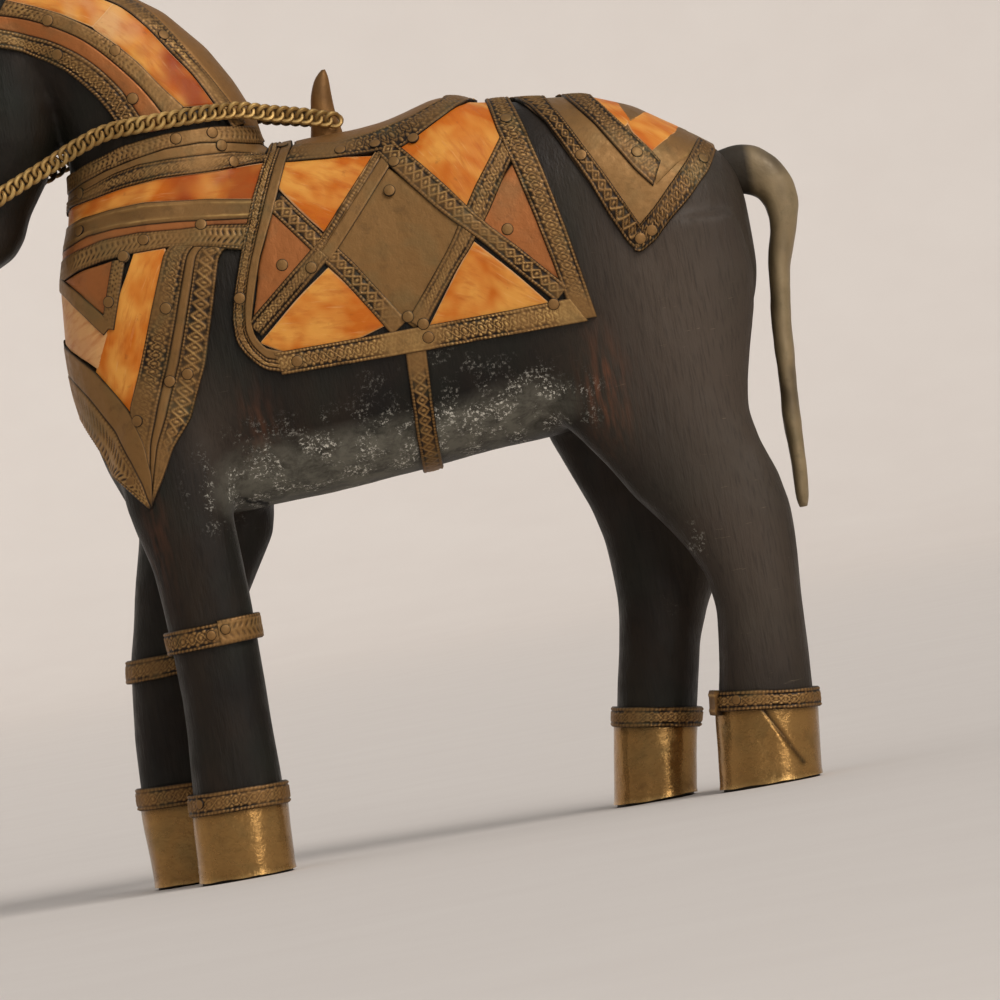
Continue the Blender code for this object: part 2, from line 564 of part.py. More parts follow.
def main():
    clear_scene()
    parts = new_collection("carved_horse")
    helpers = new_collection("helpers")
    helpers.hide_render = True
    body = carve_body(helpers, parts)
    shells = {0.0: grown(body, LIFT, helpers)}
    for thick in (SHEET, BONE, BAND):
        shells[thick] = grown(body, LIFT + thick, helpers)
    shared = {"shells": shells, "helpers": helpers, "parts": parts}
    paint(body, "wood")
    sides = ((-1.0, "left"), (1.0, "right"))

    cells = [(SEAT, 0, 0.0)]
    for outline in SADDLE_BONES + SADDLE_COPPERS:
        cells.append((outline, -1.0, 0.0))
        cells.append((outline, 1.0, 0.0))
    paint(clad("saddle_frame", CLOTH, 0, SHEET, cells, **shared), "brass")
    paint(clad("saddle_seat", SEAT, 0, SHEET, **shared), "brass")
    for side, word in sides:
        for i, outline in enumerate(SADDLE_BONES):
            paint(clad(f"saddle_bone_{i + 1}_{word}", outline, side, BONE, **shared), "bone")
        for i, outline in enumerate(SADDLE_COPPERS):
            paint(clad(f"saddle_copper_{i + 1}_{word}", outline, side, SHEET, **shared), "copper")

    upper = COLLAR_TOP + COLLAR_BACK + COLLAR_C[::-1]
    paint(clad("collar_upper", upper, 0, SHEET, **shared), "brass")
    paint(clad("collar_bone", COLLAR_C + COLLAR_D[::-1], 0, BONE, **shared), "bone")
    slots = [(COLLAR_COPPER, side, 0.0) for side, _ in sides]
    paint(clad("collar_lower", COLLAR_D + COLLAR_G[::-1], 0, SHEET, slots, **shared), "brass")
    for side, word in sides:
        paint(clad("collar_copper_" + word, COLLAR_COPPER, side, SHEET, **shared), "copper")

    cells = [(outline, side, 0.0) for outline in DROP_BONES + (DROP_COPPER,) for side, _ in sides]
    paint(clad("chest_drop", COLLAR_G[:-1] + DROP_EDGE, 0, SHEET, cells, **shared), "brass")
    for side, word in sides:
        for i, outline in enumerate(DROP_BONES):
            paint(clad(f"chest_bone_{i + 1}_{word}", outline, side, BONE, **shared), "bone")
        paint(clad("chest_copper_" + word, DROP_COPPER, side, SHEET, **shared), "copper")

    bone_low = tuple(p for p in ROW_1 if p[1] > BONE_END_Z + 1 and p[0] > BONE_JOINT[1][0] - 0.1)
    bone_low_in = tuple(p for p in ROW_2 if p[1] > BONE_END_Z + 1 and p[0] > BONE_JOINT[0][0] + 0.2)
    lower_bone = (
        ((-32.1, BONE_END_Z),) + bone_low + (BONE_JOINT[1], BONE_JOINT[0]) + bone_low_in[::-1]
        + ((-38.9, BONE_END_Z + 0.2),)
    )
    bone_high = tuple(p for p in ROW_1 if p[0] < BONE_JOINT[1][0])
    bone_high_in = tuple(p for p in ROW_2 if p[0] < BONE_JOINT[0][0])
    upper_bone = (BONE_JOINT[1],) + bone_high + bone_high_in[::-1] + (BONE_JOINT[0],)
    crest = CREST_FOOT + ROW_2[1:-1] + (ROW_END,) + CREST_TOP
    cells = [(outline, side, 0.0) for outline in (lower_bone, upper_bone) for side, _ in sides]
    paint(clad("neck_crest", crest, 0, SHEET, cells, **shared), "brass")
    rows = (("neck_strip_outer", ROW_2, ROW_3, "brass"), ("neck_copper", ROW_3, ROW_4, "copper"),
            ("neck_strip_inner", ROW_4, ROW_5, "brass"))
    for side, word in sides:
        paint(clad("neck_bone_1_" + word, lower_bone, side, BONE, **shared), "bone")
        paint(clad("neck_bone_2_" + word, upper_bone, side, BONE, **shared), "bone")
        for name, outer, inner, look in rows:
            paint(clad(f"{name}_{word}", outer + inner[::-1], side, SHEET, **shared), look)

    cells = [(outline, side, RIDGE_HALF) for outline in CRUPPER_BONES for side, _ in sides]
    paint(clad("crupper", CRUPPER, 0, SHEET, cells, **shared), "brass")
    for side, word in sides:
        for i, outline in enumerate(CRUPPER_BONES):
            tile = clad(f"crupper_bone_{i + 1}_{word}", outline, side, BONE, middle=RIDGE_HALF + SEAM, **shared)
            paint(tile, "bone")

    paint(clad("girth_strap", GIRTH, 0, SHEET, **shared), "brass")
    paint(clad("face_plate", FACE_PLATE, 0, SHEET, **shared), "brass")
    paint(clad("knee_band_left", KNEE_LEFT, -1.0, BAND, flat=LEG_FLAT_ENOUGH, **shared), "brass")
    paint(clad("knee_band_right", KNEE_RIGHT, 1.0, BAND, flat=LEG_FLAT_ENOUGH, **shared), "brass")
    for leg in LEG_TRIM:
        paint(hoof_cap(leg, shells, helpers, parts), "hoof_brass")
    for side, word in sides:
        paint(chain("rein_chain_" + word, side, shells[BONE], parts), "chain")
        paint(boss("bit_boss_" + word, side, shells[0.0], parts), "brass")
    paint(loft("saddle_horn", HORN, 2.0, 0.0, parts, points=BRASS_COUNT), "brass")
    tail = loft("tail", TAIL, TAIL_POWER, 0.0, parts, points=BRASS_COUNT)
    paint(keep_largest(boolean(tail, shells[0.0], "DIFFERENCE")), "brass")
    for obj in list(helpers.objects):
        bpy.data.objects.remove(obj, do_unlink=True)


main()
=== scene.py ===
"""Carved wooden horse clad in sheet brass, copper and bone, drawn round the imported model.

Tables and lengths are in millimetres. The horse looks along -X and its left side is -Y.
"""

from math import copysign, cos, pi, radians, sin

import bmesh
import bpy
import numpy as np
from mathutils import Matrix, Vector
from mathutils.bvhtree import BVHTree


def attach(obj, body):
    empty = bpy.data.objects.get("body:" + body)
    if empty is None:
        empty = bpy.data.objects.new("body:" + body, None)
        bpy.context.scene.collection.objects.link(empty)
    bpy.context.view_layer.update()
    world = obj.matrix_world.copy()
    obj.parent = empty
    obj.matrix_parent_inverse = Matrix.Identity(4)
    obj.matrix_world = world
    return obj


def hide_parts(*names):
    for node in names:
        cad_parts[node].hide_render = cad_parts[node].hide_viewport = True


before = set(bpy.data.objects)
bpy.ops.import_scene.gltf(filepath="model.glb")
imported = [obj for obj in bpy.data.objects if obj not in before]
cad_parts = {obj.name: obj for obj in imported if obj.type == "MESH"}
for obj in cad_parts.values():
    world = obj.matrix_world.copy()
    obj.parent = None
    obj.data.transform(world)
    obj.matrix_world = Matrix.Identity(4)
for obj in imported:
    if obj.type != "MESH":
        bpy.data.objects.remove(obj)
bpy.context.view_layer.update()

MM = 0.001
LEFT, RIGHT = -1.0, 1.0
SIDES = ((LEFT, "left"), (RIGHT, "right"))

BARREL_HALF = 27.0          # half the width of the barrel
LEG_HALF = 9.8              # half the width of a leg
LEG_Y = 15.4                # how far a leg's middle is from the horse's middle
FINE_VOXEL = 1.15           # grain of the carved wood
LIFT = 0.3                  # gap between the wood and its cladding
UNDERSIDE = 0.05            # height of the cladding's underside
BONE = 0.5                  # height of the bone tiles
SHEET = 0.42                # height of the flat metal tiles
RELIEF = 0.42               # height of the embossing
FLAT_RELIEF = 0.55          # share of it where the sheet between the marks lies
BEAD_PITCH = 0.9
RIM = 0.26                  # width of a strip's bent edge
RIM_DROP = 0.16             # how far that edge is bent down
STEP = 0.28                 # spacing of points along an embossed strip
ACROSS = 0.31               # spacing of points across it
BONE_STEP = 0.4             # spacing on a bone band, which is smooth
PLATE_STEP = 0.8            # spacing on a plain plate
CAST_STEP = 1.2             # spacing of the points that are looked up on the wood
CHAIN_CLEAR = 2.3           # from the wood to the middle of the chain
LINK_PITCH = 2.5
LINK_LONG = 1.95            # half length of a link, to the middle of its wire
LINK_WIDE = 1.6             # half width, likewise
WIRE = 0.56                 # half the thickness of the wire
LINK_SIDES, WIRE_SIDES = 16, 7
CAST_SIDES = 28             # sides of the cast pieces' sections
TACK_SIDES = 18

# Barrel: x, underside z, top z, half width as a share of BARREL_HALF.
BARREL = (
    (-76.5, 121, 134, 0.20), (-75.2, 112, 147, 0.44), (-72.6, 101, 157, 0.62),
    (-68.6, 90, 164, 0.76), (-62, 86.4, 168, 0.86), (-52, 86.2, 170, 0.93),
    (-38, 86.4, 170.4, 0.98), (-20, 87, 170.5, 1.00), (-10, 87.7, 170.9, 1.00),
    (0, 88.4, 170.9, 1.00), (8, 89.1, 171.7, 1.00), (14, 89.8, 173.2, 1.00),
    (20, 90.2, 174.9, 1.00), (25, 90.4, 174.5, 0.99), (29, 90.6, 172.4, 0.99),
    (36, 91, 171.9, 0.98), (46, 93, 170.5, 0.97), (55, 95, 169.5, 0.96),
    (61, 97, 167.1, 0.95), (66, 99, 165, 0.93), (72, 101, 160.9, 0.88),
    (80, 105, 155.4, 0.78), (85, 110, 151.6, 0.62), (88, 117, 146, 0.44),
    (89.2, 122, 140, 0.24),
)
BARREL_POWER = 2.7
# Neck: crest x and z, throat x and z, half width as a share of BARREL_HALF.
NECK = (
    (-24, 150, -73.6, 148, 0.833), (-22.2, 164, -71.4, 160, 0.759),
    (-22.5, 171.5, -69.2, 170.5, 0.719), (-23.4, 179, -68.8, 179, 0.674),
    (-27.2, 188, -71, 188, 0.622), (-32.2, 197, -75, 195, 0.585),
    (-40.6, 207, -78, 199, 0.548), (-53.5, 216.4, -79, 201, 0.511),
    (-66, 221, -80, 203, 0.474), (-78, 222.4, -83, 204, 0.430),
)
# Head: forehead x and z, jaw x and z, half width as a share of BARREL_HALF.
HEAD = (
    (-80, 223.5, -66.5, 215, 0.356), (-88, 219.5, -66.5, 205, 0.459),
    (-94, 209.5, -67.5, 196, 0.504), (-98, 198.5, -68.8, 188, 0.533),
    (-100.2, 187.5, -70.4, 180.5, 0.526), (-101.6, 177.5, -75, 172.5, 0.459),
    (-102.3, 168, -80.2, 165, 0.400), (-102.2, 161, -82.6, 159.6, 0.378),
    (-100.7, 155, -85.6, 156, 0.326), (-97, 151.6, -90.4, 153.6, 0.207),
)
NECK_POWER = 2.3
# Ear: front x and z, back x and z, half width as a share of BARREL_HALF.
EAR = (
    (-89.6, 214, -78.6, 216, 0.137), (-88.6, 223, -79, 223.4, 0.130),
    (-87.2, 229.6, -80.6, 229.4, 0.100), (-84.9, 235.6, -82.5, 235.6, 0.052),
)
EAR_POWER = 2.0
EAR_Y = 6.75
# Legs: z, front x, back x.
FRONT_LEFT = (
    (118, -66, -42), (102, -70, -42.6), (92, -69.4, -43.8), (85.5, -68.2, -44.7),
    (76, -65.8, -44.2), (67, -65, -44), (45, -64.4, -44.2), (36, -64.7, -44.3),
    (22, -65.9, -44.3), (16, -66.6, -44.6), (0, -67.5, -45.5),
)
FRONT_RIGHT = (
    (118, -66, -36), (102, -70, -35), (92, -69.4, -34.8), (85, -68.7, -35.4),
    (80, -70, -36.6), (75.5, -71.2, -39.5), (71, -72.3, -42.4), (64, -73.9, -46.5),
    (56, -76, -50.5), (46, -77.4, -54.2), (36, -78.5, -56.8), (24, -79.2, -57.4),
    (16, -79.4, -56.8), (0, -79.2, -56.8),
)
THIGH = ((136, 44, 86), (122, 36.5, 88), (113, 33, 86.6))
HIND_LEFT = THIGH + (
    (104, 32.6, 84), (95.4, 34.9, 81.9), (89, 40, 80.9), (81.6, 45.2, 82.2), (73.2, 50.2, 85.2),
    (64.8, 56.7, 86.6), (58.6, 60.6, 86.6), (51.7, 63.7, 86.2), (43.3, 64.8, 85.4),
    (36.4, 64, 85), (29.5, 62.9, 84.7), (23, 61.6, 84.3), (16, 60.6, 83.9),
    (0, 58.7, 82.1),
)
HIND_RIGHT = THIGH + (
    (104, 31.6, 84), (90.4, 33, 81), (82.4, 36, 79), (72.4, 39.9, 76.5), (64, 41.8, 73.5),
    (56.3, 42.2, 70), (49.4, 42.3, 66.5), (44.8, 41.8, 63.7), (36.4, 40.3, 60.2),
    (30, 38.8, 58.8), (22, 37.2, 57), (16, 36.1, 55.3), (0, 33.2, 52.1),
)
LEG_POWER = 2.6
UNDER_FLOOR = -8            # the legs are lofted down to here, then cut off at the floor
# Tail: outer x and z, inner x and z, half width.
TAIL = (
    (84, 151.4, 84, 141.6, 4), (89, 152, 89.4, 140, 4.5), (93.5, 151.3, 92.4, 138.4, 5),
    (98.2, 147.6, 93.6, 136.2, 5.4), (101.3, 141.5, 93.9, 133.2, 5.4),
    (101.9, 136, 93.5, 129.5, 5.2), (99.8, 128.7, 92.7, 125.6, 4.9),
    (96.7, 120, 91.7, 119.4, 4.5), (95, 108, 90.2, 108, 4.2),
    (93.4, 88, 89, 88, 3.9), (92.6, 75, 88.9, 75, 3.6), (91.6, 66, 88.7, 66, 2.9),
    (90.9, 63.8, 89.2, 63.8, 1.4),
)
TAIL_POWER = 2.4
# Saddle horn: front x and z, back x and z, half width.
HORN = (
    (-11.6, 167.6, -2.2, 167.6, 4.6), (-11, 170, -2.7, 170, 4.2),
    (-10.7, 172.2, -3, 172.2, 3.8), (-10.2, 174.2, -3.4, 174.2, 3.4),
    (-9.7, 177, -3.9, 177, 2.8), (-9, 182, -4, 182, 2.4),
    (-7.3, 185.7, -4, 185.7, 1.6), (-5.4, 187.3, -4.4, 187.3, 0.6),
)
NECK_FOOT = -22.0           # behind this the chain hangs free of the wood
CHAIN_PATH = (
    (-4.6, 174.8), (-12, 177), (-20, 179), (-26, 180.8), (-34, 181.2),
    (-45, 181.2), (-55, 181.2), (-60, 180.6), (-66.5, 178.4), (-73, 175.6),
    (-80, 172.9), (-86, 170.5), (-88.8, 168.9),
)

RANDOM = np.random.default_rng(11)
WAVES = RANDOM.normal(size=(24, 3))
PHASES = RANDOM.uniform(0.0, 2.0 * pi, 24)


def uneven(points, size, shift=0.0):
    """Smooth unevenness, mostly between -1 and 1, with bumps of about that size."""
    turns = np.asarray(points) @ (WAVES.T * (2.2 / size)) + PHASES + shift
    return np.sin(turns).mean(axis=-1) * 2.6


def loft_into(bm, rows, power, y_centre, count):
    """Closed loft through sections, each given by two profile points (x, z) and a half width."""
    rings = []
    for x_a, z_a, x_b, z_b, half in rows:
        ring = []
        for i in range(count):
            turn = 2.0 * pi * i / count
            along = copysign(abs(cos(turn)) ** (2.0 / power), cos(turn))
            across = copysign(abs(sin(turn)) ** (2.0 / power), sin(turn))
            share = 0.5 - 0.5 * along
            spot = (x_a + (x_b - x_a) * share, y_centre + half * across, z_a + (z_b - z_a) * share)
            ring.append(bm.verts.new(Vector(spot) * MM))
        rings.append(ring)
    for lower, upper in zip(rings, rings[1:]):
        for i in range(count):
            j = (i + 1) % count
            bm.faces.new((lower[i], lower[j], upper[j], upper[i]))
    bm.faces.new(rings[0])
    bm.faces.new(rings[-1])


def finished(bm, name):
    bmesh.ops.recalc_face_normals(bm, faces=bm.faces)
    mesh = bpy.data.meshes.new(name)
    bm.to_mesh(mesh)
    bm.free()
    obj = bpy.data.objects.new(name, mesh)
    bpy.context.scene.collection.objects.link(obj)
    return obj


def baked(obj):
    """The object with its modifiers applied."""
    graph = bpy.context.evaluated_depsgraph_get()
    graph.update()
    mesh = bpy.data.meshes.new_from_object(obj.evaluated_get(graph))
    obj.modifiers.clear()
    obj.data = mesh
    return obj


def joined(bm, name, voxel, passes):
    """The lofts as one skin, blended where they meet."""
    obj = finished(bm, name)
    grain = obj.modifiers.new("join", "REMESH")
    grain.mode = "VOXEL"
    grain.voxel_size = voxel * MM
    soft = obj.modifiers.new("blend", "SMOOTH")
    soft.factor = 0.5
    soft.iterations = passes
    return baked(obj)


def barrel_rows():
    return [(x, top, x, low, share * BARREL_HALF) for x, low, top, share in BARREL]


def sized(table):
    return [row[:4] + (row[4] * BARREL_HALF,) for row in table]


def carved_body():
    """The whole horse as one skin, cut off at the floor."""
    bm = bmesh.new()
    loft_into(bm, barrel_rows(), BARREL_POWER, 0.0, 48)
    for table in (NECK, HEAD):
        loft_into(bm, sized(table), NECK_POWER, 0.0, 48)
    for side in (LEFT, RIGHT):
        loft_into(bm, sized(EAR), EAR_POWER, side * EAR_Y, 24)
    for table, side in ((FRONT_LEFT, LEFT), (FRONT_RIGHT, RIGHT), (HIND_LEFT, LEFT), (HIND_RIGHT, RIGHT)):
        rows = [(front, z, back, z, LEG_HALF) for z, front, back in table]
        front, back = rows[-1][0], rows[-1][2]
        rows.append((front, UNDER_FLOOR, back, UNDER_FLOOR, LEG_HALF))
        loft_into(bm, rows, LEG_POWER, side * LEG_Y, 48)
    body = joined(bm, "carved_wood", FINE_VOXEL, 12)
    bm = bmesh.new()
    bm.from_mesh(body.data)
    everything = list(bm.verts) + list(bm.edges) + list(bm.faces)
    bmesh.ops.bisect_plane(
        bm, geom=everything, dist=1e-7, plane_co=(0, 0, 0), plane_no=(0, 0, -1), clear_outer=True
    )
    bmesh.ops.holes_fill(bm, edges=[edge for edge in bm.edges if edge.is_boundary])
    bmesh.ops.recalc_face_normals(bm, faces=bm.faces)
    bm.to_mesh(body.data)
    bm.free()
    return body


def blob(points, x, z, wide, tall):
    """1 at (x, z) on both sides of the horse, falling to 0 about `wide` and `tall` away."""
    return np.exp(-((points[:, 0] - x) / wide) ** 2 - ((points[:, 2] - z) / tall) ** 2)


def add_values(mesh, name, values):
    mesh.attributes.new(name, "FLOAT", "POINT").data.foreach_set("value", np.asarray(values, np.float32))


# How strong, then where and how wide and tall, for blob(). There is less dust on the right side, which keeps
# that far side darker as painted shade.
WORN_PLACES = {
    "dust": ((1, -36, 92, 14, 11), (1, -14, 92, 14, 10), (1, 10, 95, 18, 8), (0.8, 30, 99, 14, 8),
             (0.3, 10, 112, 24, 4), (0.5, 55, 46, 6, 7), (0.4, 63, 60, 3, 6)),
    "rubbed": ((1, 48, 100, 5, 11), (0.5, -35, 106, 4, 8), (0.4, -63, 84, 3, 14)),
    # Greyer wood with a painted sheen, strongest on the haunch.
    "sheen_and_grey": ((1, 70, 118, 22, 45), (0.7, 76, 50, 12, 35), (0.45, -45, 106, 7, 16)),
}


def age_body(body):
    """Knife work in the surface, and where the wood is dusty, rubbed red, or greyer and lighter with a
    painted sheen.
    """
    mesh = body.data
    count = len(mesh.vertices)
    spots = np.empty(count * 3)
    mesh.vertices.foreach_get("co", spots)
    spots = spots.reshape(-1, 3) / MM
    normals = np.empty(count * 3)
    mesh.vertices.foreach_get("normal", normals)
    normals = normals.reshape(-1, 3)
    push = 0.10 * uneven(spots, 9.0) + 0.05 * uneven(spots * (1.0, 1.0, 0.35), 3.0, 4.0)
    push *= np.clip(spots[:, 2] / 3.0, 0.0, 1.0)
    spots = spots + normals * push[:, None]
    mesh.vertices.foreach_set("co", (spots * MM).ravel())
    # Cutting the dust to 0.3 on the right side paints that far side darker: painted shade.
    left = 1.0 - 0.7 * (spots[:, 1] > 0)
    for name, patches in WORN_PLACES.items():
        total = sum(share * blob(spots, *patch) for share, *patch in patches)
        add_values(mesh, name, np.clip(total * left if name == "dust" else total, 0, 1))
    mesh.polygons.foreach_set("use_smooth", [True] * len(mesh.polygons))
    mesh.update()


def tree_of(obj):
    return BVHTree.FromObject(obj, bpy.context.evaluated_depsgraph_get())


def cast(tree, start, ray):
    """Where the ray leaves the wood, in millimetres, and the normal there."""
    hit, normal = tree.ray_cast(Vector(start) * MM, Vector(ray))[:2]
    if hit is None:
        hit, normal = tree.find_nearest((Vector(start) + Vector(ray) * 20.0) * MM)[:2]
    return np.array(hit) / MM, np.array(normal)


class Round:
    """Distances along the wood, measured in sections from the middle line outward.

    Upright sections run round a vertical axis from the chest, and a flat point is (z, distance).
    The others run across the barrel from the ridge, and a flat point is (x, distance).
    """

    def __init__(self, wood, ruler, rows, upright, centre, reach):
        self.wood, self.upright, self.centre = wood, upright, centre
        self.rows = np.array(rows, float)
        self.turns = np.radians(np.arange(0.0, reach + 1.0, 2.0))
        self.lengths, self.crosses = [], []
        for row in self.rows:
            hits = np.array([cast(ruler, *self.aim(row, turn, -1.0))[0] for turn in self.turns])
            self.lengths.append(run_of(hits))
            cross = hits[:, 0] if upright else -hits[:, 2]
            self.crosses.append(np.maximum.accumulate(cross))
        self.lengths, self.crosses = np.array(self.lengths), np.array(self.crosses)

    def aim(self, row, turn, side):
        if self.upright:
            return (self.centre, 0.0, row), (-cos(turn), side * sin(turn), 0.0)
        return (row, 0.0, self.centre), (0.0, side * sin(turn), cos(turn))

    def at_row(self, table, row):
        place = np.interp(row, self.rows, np.arange(len(self.rows)))
        low = min(int(place), len(self.rows) - 2)
        return table[low] + (table[low + 1] - table[low]) * (place - low)

    def flat(self, x, z):
        row, cross = (z, x) if self.upright else (x, -z)
        return row, float(np.interp(cross, self.at_row(self.crosses, row), self.at_row(self.lengths, row)))

    def line(self, points):
        return np.array([self.flat(x, z) for x, z in stepped(points)])

    def over(self, points):
        """The line on the left side and on over the middle to the right side."""
        line = self.line(points)
        flipped = line[::-1] * (1.0, -1.0)
        return np.concatenate([flipped[:-1] if line[0][1] < 0.05 else flipped, line])

    def spot(self, row, distance, side):
        side = -side if distance < 0 else side
        turn = np.interp(abs(distance), self.at_row(self.lengths, row), self.turns)
        return cast(self.wood, *self.aim(row, turn, side))


class Beside:
    """Points seen from the side: a flat point is (x, z)."""

    def __init__(self, wood):
        self.wood = wood

    def flat(self, x, z):
        return x, z

    def line(self, points):
        return np.array(stepped(points))

    def spot(self, x, z, side):
        return cast(self.wood, (x, 0.0, z), (0.0, side, 0.0))


def stepped(points):
    """The polyline with points added, about 1 mm apart."""
    made = [points[0]]
    for a, b in zip(points, points[1:]):
        a, b = np.array(a, float), np.array(b, float)
        count = max(1, int(np.linalg.norm(b - a)))
        made += [a + (b - a) * (i + 1) / count for i in range(count)]
    return np.array(made)


def run_of(points):
    """Length of the polyline from its start to each of its points."""
    return np.concatenate([[0.0], np.cumsum(np.linalg.norm(np.diff(points, axis=0), axis=1))])


def resampled(points, count):
    """The polyline at equal steps of its length."""
    run = run_of(points)
    wanted = np.linspace(0.0, run[-1], count)
    return np.stack([np.interp(wanted, run, points[:, i]) for i in range(points.shape[1])], axis=1)


def length_of(line):
    return float(np.linalg.norm(np.diff(line, axis=0), axis=1).sum())


def finer(grid, count, wide):
    """The grid with `count` by `wide` points."""
    for axis, wanted in enumerate((count, wide)):
        at = np.linspace(0, grid.shape[axis] - 1, wanted)
        low = np.minimum(at.astype(int), grid.shape[axis] - 2)
        share = np.expand_dims(at - low, (2, 1 - axis))
        grid = np.take(grid, low, axis) * (1 - share) + np.take(grid, low + 1, axis) * share
    return grid


def unit(vectors):
    return vectors / np.maximum(np.linalg.norm(vectors, axis=-1, keepdims=True), 1e-9)


def beads(u, v, half):
    line = np.exp(-(((np.abs(v) - (half - 0.5)) / 0.27) ** 2))
    return line * (0.62 + 0.38 * np.cos(2.0 * pi * u / BEAD_PITCH))


def inner(half):
    """Half the width of the pattern between the rows of beads."""
    return np.maximum(half - 1.05, 0.3)


def framed(u, v, half, middle):
    """The pattern between two rows of beads, each set off by a narrow hollow."""
    hollow = np.exp(-(((np.abs(v) - (half - 0.98)) / 0.16) ** 2))
    inside = np.abs(v) < inner(half) + 0.1
    return np.maximum(beads(u, v, half), inside * middle) - 0.3 * hollow


def vine(u, v, half):
    """Two crossing waves with a bead in each eye and beside it."""
    reach = inner(half)
    wave = 0.62 * reach * np.sin(2.0 * pi * u / 4.0)
    strands = np.maximum(np.exp(-(((v - wave) / 0.24) ** 2)), np.exp(-(((v + wave) / 0.24) ** 2)))
    share = u / 2.0 - np.floor(u / 2.0) - 0.5
    eye = ((share * 2.0) / 0.4) ** 2 + (v / (0.34 * reach)) ** 2
    side = (((np.abs(share) - 0.5) * 2.0) / 0.36) ** 2 + ((np.abs(v) - 0.8 * reach) / (0.25 * reach)) ** 2
    middle = np.maximum(strands, 0.9 * np.maximum(np.exp(-(eye**2)), np.exp(-(side**2))))
    return framed(u, v, half, 0.06 + 0.86 * middle)


def lace(u, v, half):
    """Crossed lines with a bead in each diamond."""
    reach = inner(half)
    one = np.abs(np.sin(pi * (u / 2.6 + 0.5 * v / reach)))
    two = np.abs(np.sin(pi * (u / 2.6 - 0.5 * v / reach)))
    lines = np.exp(-((np.minimum(one, two) / 0.36) ** 2))
    share = (u / 2.6 - np.floor(u / 2.6) - 0.5) * 2.6
    dot = (share / 0.4) ** 2 + (v / (0.4 * reach)) ** 2
    middle = np.maximum(lines, 0.95 * np.exp(-(dot**2)))
    return framed(u, v, half, 0.05 + 0.86 * middle)


def leaves(u, v, half):
    """Two rows of slanting leaves cut into the sheet."""
    reach = np.maximum(half - 1.0, 0.3)
    row = np.where(v > 0, 1.0, -1.0)
    shift = (u + 0.45 * (row + 1.0)) / 1.35
    share = (shift - np.floor(shift) - 0.5) * 1.35
    off = v - row * 0.5 * reach
    leaf = ((share + row * 0.5 * off) / 0.3) ** 2 + (off / (0.42 * reach)) ** 2
    return np.maximum(beads(u, v, half), (np.abs(v) < reach + 0.1) * (0.74 - 0.74 * np.exp(-(leaf**2))))


def plain(u, v, half):
    return FLAT_RELIEF + 0.0 * u + 0.0 * v


def ribbed(u, v, half):
    return 0.45 + 0.5 * np.exp(-(((np.abs(v) - 0.62 * half) / 0.3) ** 2)) + 0.0 * u


def beaded(u, v, half):
    """A single row of beads between two fine edges."""
    row = np.exp(-((v / 0.42) ** 2)) * (0.6 + 0.4 * np.cos(2.0 * pi * u / BEAD_PITCH))
    return np.maximum(row, 0.8 * np.exp(-(((np.abs(v) - (half - 0.22)) / 0.14) ** 2)))


# Each gives the relief, from 0 to about 1, at `u` along a strip and `v` across it.
PATTERNS = {"beaded": beaded, "vine": vine, "lace": lace, "leaves": leaves, "plain": plain, "ribbed": ribbed}


